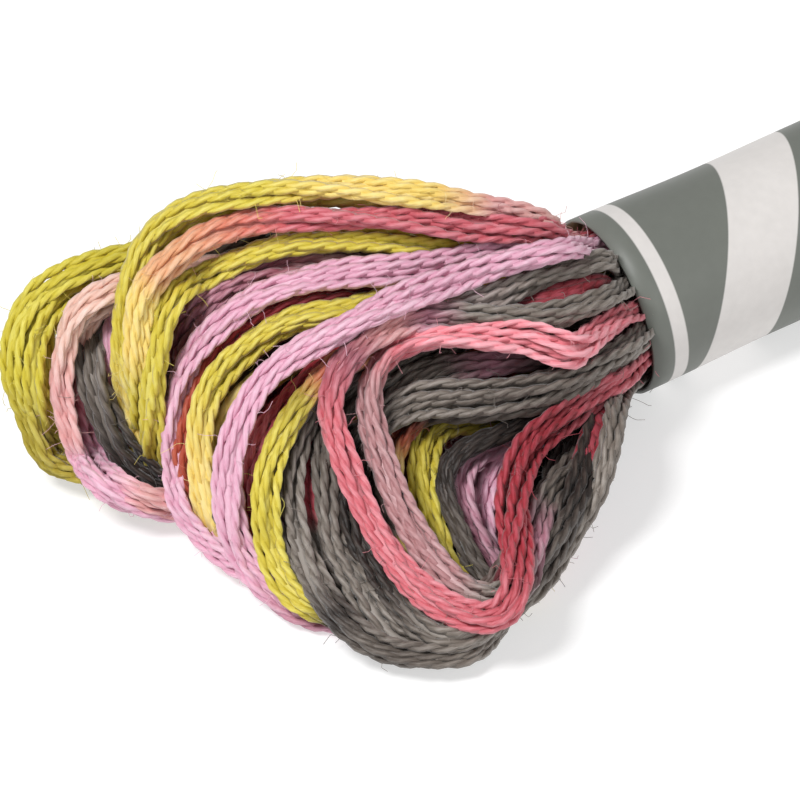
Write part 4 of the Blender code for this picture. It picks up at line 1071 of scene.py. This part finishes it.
# Places along the far end are counted from the band's mouth.
farEnd = {
    "bandEnd": 50.0, "bellyStart": 68.0, "bellyEnd": 120.0, "end": 132.5,
    "halfWidth": 4.9, "halfHeight": 4.0, "height": 3.85,
    "turns": 0.12, "untwist": 30.0,    # the bundle's twist, undone over this length before the loops
    "spread": 34.0,            # degrees from the frontmost loop to the backmost
    "legClock": 81.0,          # degrees from the top, or from below, to the outermost legs
    "crown": 8.6, "crownDrop": 1.8, "sideShorter": 1.5,    # loops are lower and shorter at the sides
    "oddRise": 0.5, "oddShorter": 0.9,         # every second loop stands higher and ends sooner
    "nose": [(0.5, 1.0), (0.95, 0.62)],        # shares of a loop's reach and of its crown's height
    "heel": [(0.9, 0.7), (0.45, 0.0)],         # share of its reach, and height over its lowest
    "outer": {"loops": 10, "number": 40, "start": 47.0, "inset": 0.0, "shorter": 0.0, "lower": 0.0,
              "low": skein["flossRadius"]},
    "inner": {"loops": 8, "number": 60, "start": 100.0, "inset": 1.3, "shorter": 2.2, "lower": 1.7,
              "low": 1.9},
    "waver": 0.22, "waverStart": 56.0, "waverFull": 70.0, "backPhase": 2.0,
    "waverAside": (0.19, 1.7), "waverUp": (0.23, 2.9),     # radians for each mm and for each strand
    "press": 0.72, "loosen": 7.0,      # thickness in the band's far end, and how soon it's full again
    "legEnd": 118.0, "legStep": 5.0, "routeStep": 0.6, "ringStep": 0.8,
    "dyes": ["lemon", "gold", "peach", "coral", "crimson", "rose", "pink", "lilac", "mauve", "grey",
             "slate", "grey", "olive"],
    "zone": 13.0,              # length of each colour
    "spin": {"Strands": 6, "Strand Spread": 0.42 * mm, "Flatness": 0.9, "Roll": 1.0,
             "Floss Twist": 0.25, "Wander": 0.3 * mm, "Plies": 1, "Ply Spread": 0.0,
             "Ply Radius": 0.25 * mm, "Ply Pitch": 1.3, "Core Radius": 0.3 * mm, "Sides": 5},
}


def smoothStep(value, low, high):
    t = min(max((value - low) / (high - low), 0.0), 1.0)
    return t * t * (3.0 - 2.0 * t)


def bundleCentre(x):
    # its height behind the band
    rise = farEnd["height"] - skein["axisHeight"]
    return skein["axisHeight"] + rise * smoothStep(x, farEnd["bandEnd"], farEnd["bellyStart"])


def bundlePoint(x, clock, inset):
    # a point in the bundle behind the band, by its clock angle, inset from the bundle's skin
    mouthRadius, bandEnd, bellyEnd = skein["mouthRadius"], farEnd["bandEnd"], farEnd["bellyEnd"]
    spread = smoothStep(x, bandEnd, farEnd["bellyStart"])
    wide = mouthRadius + (farEnd["halfWidth"] - inset - mouthRadius) * spread
    high = mouthRadius + (farEnd["halfHeight"] - inset - mouthRadius) * spread
    twist = 360.0 * farEnd["turns"] * (farEnd["end"] - max(x, bandEnd)) / (farEnd["end"] - bandEnd)
    angle = math.radians(clock - twist * (1.0 - smoothStep(x, bellyEnd - farEnd["untwist"], bellyEnd)))
    return [x, -wide * math.sin(angle), bundleCentre(x) + high * math.cos(angle)]


def farRoute(index, layer):
    # out of the band along the bundle, round the end and back underneath
    share = 2.0 * index / (layer["loops"] - 1) - 1.0       # from -1 at the front to 1 at the back
    odd = index % 2
    upper, lower = -farEnd["legClock"] * share, 180.0 + farEnd["legClock"] * share
    inset = skein["flossRadius"] + layer["inset"]
    stations = np.arange(layer["start"], farEnd["legEnd"], farEnd["legStep"])
    reach = farEnd["end"] - skein["flossRadius"] - farEnd["bellyEnd"] - layer["shorter"]
    reach -= farEnd["sideShorter"] * abs(share) + farEnd["oddShorter"] * odd
    crown = farEnd["crown"] - farEnd["crownDrop"] * abs(share) + farEnd["oddRise"] * odd - layer["lower"]
    lane = bundlePoint(farEnd["bellyEnd"], upper, inset)[1]
    side = math.sin(math.radians(farEnd["spread"] / 2.0 * share))

    def fanned(part, height):
        return [farEnd["bellyEnd"] + reach * part, lane + reach * part * side, height]

    out = [wavering(bundlePoint(x, upper, inset), index, 0.0) for x in stations]
    nose = [fanned(part, crown * height) for part, height in farEnd["nose"]]
    heel = [fanned(part, layer["low"] + above) for part, above in farEnd["heel"]]
    back = [wavering(bundlePoint(x, lower, inset), index, farEnd["backPhase"]) for x in stations[::-1]]
    route = smoothRoute(np.array(out + nose + heel + back), farEnd["routeStep"])
    route[:, 2] = np.maximum(route[:, 2], skein["flossRadius"])
    return route


def wavering(point, index, phase):
    # strands along the bundle sway a little, each in its own way
    x, y, z = point
    strength = farEnd["waver"] * smoothStep(x, farEnd["waverStart"], farEnd["waverFull"])
    aside, up = [math.sin(pace * x + apart * index + phase)
                 for pace, apart in (farEnd["waverAside"], farEnd["waverUp"])]
    return [x, y + strength * aside, z + strength * up]


def farSqueeze(line):
    loose = np.clip((line[:, 0] - farEnd["bandEnd"]) / farEnd["loosen"], 0.0, 1.0)
    return farEnd["press"] + (1.0 - farEnd["press"]) * loose


def farDyes(length, number):
    # the floss is dyed in one long order, and each loop starts elsewhere in it
    order = farEnd["dyes"]
    count = max(int(length / farEnd["zone"]), 2)
    first = (number * 5 + number // 4) % len(order)
    return [((i + 0.5) / count, order[(first + i) % len(order)]) for i in range(count)]


def buildFarLoops(spinning, material):
    built = []
    for name, layer in (("farLoops", farEnd["outer"]), ("farInnerLoops", farEnd["inner"])):
        flosses = []
        for index in range(layer["loops"]):
            number = layer["number"] + index
            route = farRoute(index, layer)
            colours = farDyes(farEnd["routeStep"] * len(route), number)
            flosses.append({"route": route, "number": number, "squeeze": farSqueeze, "dyes": colours,
                            "opens": [(0.0, 1.0)]})
        routes = routesMesh(name + "Routes", flosses, farEnd["ringStep"])
        built.append(grow(routes, spinning, dict(farEnd["spin"], Material=material), name))
        bpy.data.objects.remove(routes)
        print("spun", name, len(built[-1].data.polygons), "faces")
    return built


heartMass = {
    "sides": 40, "spacing": 1.5, "start": -1.5, "end": 124.0,
    "closing": 108.0, "narrowing": 0.75,       # where it starts to draw in, and by how much
    "depth": 1.25,             # floss radii under the bundle's skin
    "ridges": 8.0, "ridge": 0.1,
}


def gridFaces(rows, columns, closed):
    # quads over a grid of points, which closes on itself round a tube
    faces = []
    for j in range(rows - 1):
        for i in range(columns if closed else columns - 1):
            a, b = j * columns + i, j * columns + (i + 1) % columns
            faces.append((a, b, b + columns, a + columns))
    return faces


def buildHeart(material):
    # the strands out of sight inside the band and the bundle, as one ridged mass, dyed umber as painted
    # shade where it shows between the loops
    around = heartMass["sides"]
    stations = list(np.arange(heartMass["start"], heartMass["end"], heartMass["spacing"]))
    vertices = []
    for x in stations:
        close = 1.0 - heartMass["narrowing"] * smoothStep(x, heartMass["closing"], heartMass["end"])
        middle = bundleCentre(x)
        for i in range(around):
            clock = 360.0 * i / around
            ridge = heartMass["ridge"] * math.cos(heartMass["ridges"] * math.radians(clock))
            inset = skein["flossRadius"] * heartMass["depth"] + ridge
            _, y, z = bundlePoint(max(x, farEnd["bandEnd"]), clock, inset)
            height = middle + (z - middle) * close
            vertices.append(((x + skein["mouth"]) * mm, y * close * mm, height * mm))
    faces = gridFaces(len(stations), around, True)
    faces.append(tuple(range(around))[::-1])
    faces.append(tuple(len(vertices) - around + i for i in range(around)))
    mesh = bpy.data.meshes.new("heart")
    mesh.from_pydata(vertices, [], faces)
    addLayer(mesh, "dye", np.tile(linear(dyes["umberShade"]), (len(vertices), 1)))
    mesh.shade_smooth()
    mesh.materials.append(material)
    print("filled the heart", len(faces), "faces")
    return addObject("heart", mesh)


band = {
    "radius": 3.55, "paper": 0.14, "length": 50.0,
    "overlap": 62.0, "seam": 200.0,    # degrees
    "climb": 20.0,             # degrees over which the sheet's end climbs onto its start
    "sides": 96, "rings": 60,
    "ripple": 0.02,
    "waves": [(1.0, 0.21, 2.0, 0.0), (0.6, 0.37, -3.0, 1.0)],  # strength, pace along, round, start
    "tuck": 0.65, "lift": 1.1,         # sheets in from the outer radius, and up onto the start
    "waist": 0.13, "flare": 6.0,       # the ends stand a little wider than the middle
    "skew": 0.4,               # how far the sheet is wrapped off square
    "edge": 0.95, "ring": 0.62,        # the pale ring's distance from the end, and its width
    "panel": 4.2, "panelWidth": 3.2, "slant": 0.39,
    "ink": (106, 109, 103), "pale": (207, 203, 200), "softEdge": 0.03,
    "fibreScale": 2600.0, "fibreDetail": 4.0, "cloudScale": 300.0, "cloudDetail": 2.0, "mottle": 0.12,
    "roughness": 0.45, "specular": 0.35, "bump": 0.12, "bumpDepth": 0.02,
}


def sheetRadius(x, turned, angle):
    # the paper's middle at a distance along the band and an angle wound from the seam
    climb = min(max((turned - 360.0 + band["climb"]) / band["climb"], 0.0), 1.0)
    ripple = sum(strength * math.sin(along * x + turns * angle + start)
                 for strength, along, turns, start in band["waves"])
    waist = band["waist"] * smoothStep(min(x, band["length"] - x), 0.0, band["flare"])
    wound = (band["lift"] * climb - band["tuck"]) * band["paper"]
    return band["radius"] + wound + band["ripple"] * ripple - waist


def buildBand():
    # one sheet of paper wrapped once round, its end glued down over its start
    total = 360.0 + band["overlap"]
    steps = int(band["sides"] * total / 360.0)
    vertices = []
    for j in range(band["rings"] + 1):
        x = band["length"] * j / band["rings"]
        for i in range(steps + 1):
            turned = total * i / steps
            angle = math.radians(band["seam"] + turned)
            radius = sheetRadius(x, turned, angle)
            y, z = -radius * math.sin(angle), skein["axisHeight"] + radius * math.cos(angle)
            skewed = x - band["skew"] * math.cos(angle - math.pi / 4.0)
            vertices.append(((skewed + skein["mouth"]) * mm, y * mm, max(z, band["paper"] * 0.5) * mm))
    mesh = bpy.data.meshes.new("paperBand")
    mesh.from_pydata(vertices, [], gridFaces(band["rings"] + 1, steps + 1, False))
    mesh.shade_smooth()
    mesh.materials.append(paperMaterial())
    paper = addObject("paperBand", mesh)
    wall = paper.modifiers.new("wall", "SOLIDIFY")
    wall.thickness = band["paper"] * mm
    wall.offset = 0.0
    print("wrapped the band")
    return paper


def stripe(tree, place, start, width):
    # 1 on a stripe with slightly soft edges, 0 off it
    soft, end = band["softEdge"], start + width
    return mathNode(tree, "SUBTRACT", ramp(tree, place, start - soft, start + soft),
                    ramp(tree, place, end - soft, end + soft))


def paperMaterial():
    material, tree, shader = newMaterial("printedPaper", band["roughness"], band["specular"])
    place = addNode(tree, "ShaderNodeTexCoord").outputs["Object"]
    x, y, z = addNode(tree, "ShaderNodeSeparateXYZ", {0: place}).outputs
    # distance in from the nearer end of the band, in millimetres, along the slightly skew sheet
    lean = mathNode(tree, "SUBTRACT", z, mathNode(tree, "ADD", y, skein["axisHeight"] * mm))
    straight = timesPlus(tree, lean, math.sqrt(0.5) * band["skew"] / band["radius"], x)
    inward = mathNode(tree, "SUBTRACT", band["length"] / 2.0, mathNode(
        tree, "ABSOLUTE", mathNode(tree, "DIVIDE", straight, mm)))
    # the pale panel runs slantwise round the band
    across = mathNode(tree, "DIVIDE", mathNode(tree, "ADD", y, z), mm)
    across = times(tree, mathNode(tree, "SUBTRACT", across, skein["axisHeight"]), band["slant"])
    slanted = mathNode(tree, "SUBTRACT", inward, across)
    pale = mathNode(tree, "ADD", stripe(tree, inward, band["edge"], band["ring"]),
                    stripe(tree, slanted, band["panel"], band["panelWidth"]))
    fibre = noise(tree, place, band["fibreScale"], band["fibreDetail"])[0]
    cloud = noise(tree, place, band["cloudScale"], band["cloudDetail"])[0]
    tone = timesPlus(tree, fibre, band["mottle"], timesPlus(
        tree, cloud, band["mottle"], 1.0 - band["mottle"]))
    inks = addNode(tree, "ShaderNodeMix", data_type="RGBA")
    tree.links.new(pale, inks.inputs[0])
    inks.inputs[6].default_value = (*linear(band["ink"]), 1.0)
    inks.inputs[7].default_value = (*linear(band["pale"]), 1.0)
    tree.links.new(vectorNode(tree, "SCALE", inks.outputs[2], scale=tone), shader.inputs["Base Color"])
    bump = addNode(tree, "ShaderNodeBump", {
        "Height": fibre, "Strength": band["bump"], "Distance": band["bumpDepth"] * mm})
    tree.links.new(bump.outputs[0], shader.inputs["Normal"])
    return material


studio = {
    "floorHalf": 3.0, "floorGrey": 0.5, "floorGlow": 0.55, "floorRoughness": 0.9, "floorSpecular": 0.1,
    "sky": 0.4,
    "aim": (-0.03, 0.0, 0.0),
    "lights": [dict(name="key", place=(-0.4, -0.05, 0.6), size=0.22, power=4.4),
               dict(name="fill", place=(0.15, -0.6, 0.35), size=0.4, power=1.0)],
}


def softLight(name, place, size, power):
    lamp = bpy.data.lights.new(name, "AREA")
    lamp.shape = "DISK"
    lamp.size = size
    lamp.energy = power
    light = addObject(name, lamp)
    light.location = place
    light.rotation_euler = (Vector(studio["aim"]) - Vector(place)).to_track_quat("-Z", "Y").to_euler()


def buildStudio():
    floorMesh = bpy.data.meshes.new("floor")
    half, grey, white = studio["floorHalf"], studio["floorGrey"], (1.0, 1.0, 1.0, 1.0)
    corners = [(-half, -half, 0.0), (half, -half, 0.0), (half, half, 0.0), (-half, half, 0.0)]
    floorMesh.from_pydata(corners, [], [(0, 1, 2, 3)])
    floor = addObject("floor", floorMesh)
    material, _, shader = newMaterial("paleFloor", studio["floorRoughness"], studio["floorSpecular"])
    shader.inputs["Base Color"].default_value = (grey, grey, grey, 1.0)
    shader.inputs["Emission Color"].default_value = white
    shader.inputs["Emission Strength"].default_value = studio["floorGlow"]
    floorMesh.materials.append(material)
    world = bpy.data.worlds.new("studio")
    world.use_nodes = True
    world.node_tree.nodes["Background"].inputs["Color"].default_value = white
    world.node_tree.nodes["Background"].inputs["Strength"].default_value = studio["sky"]
    bpy.context.scene.world = world
    for light in studio["lights"]:
        softLight(**light)
    bpy.context.scene.view_settings.view_transform = "Standard"
    print("lit the studio")


def buildCamera():
    # aimed at what shows in the middle of the view, from where a millimetre spans its dots
    right, up = viewAxes()
    back = Vector(np.cross(right, up))
    middle = view["dots"] / 2
    aim = Vector(seenPoint((middle, middle, view["mouthHeight"]))) + Vector((skein["mouth"], 0.0, 0.0))
    distance = view["lens"] / view["sensor"] * view["dots"] / view["dotsToMm"]
    lens = bpy.data.cameras.new("camera")
    lens.lens = view["lens"]
    lens.sensor_width = view["sensor"]
    lens.clip_start = 0.01
    camera = addObject("camera", lens)
    camera.location = (aim + back * distance) * mm
    camera.rotation_euler = back.to_track_quat("Z", "Y").to_euler()
    bpy.context.scene.camera = camera


buildCamera()
buildStudio()
grain = yarnGrainAndShade()
nearCotton = cottonMaterial("cotton", grain, cotton["near"])
farCotton = cottonMaterial("cottonFar", grain, cotton["far"])
spinning = spinningTree()
pieces = buildNearLoops(spinning, fuzzTree(), nearCotton, farCotton)
pieces += buildFarLoops(spinning, farCotton)
pieces.append(buildHeart(farCotton))
paper = buildBand()
for piece in pieces:
    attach(piece, "root")
    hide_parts("skein")
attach(paper, "root")
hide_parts("band")
print("dressed", len(pieces) + 1, "pieces")
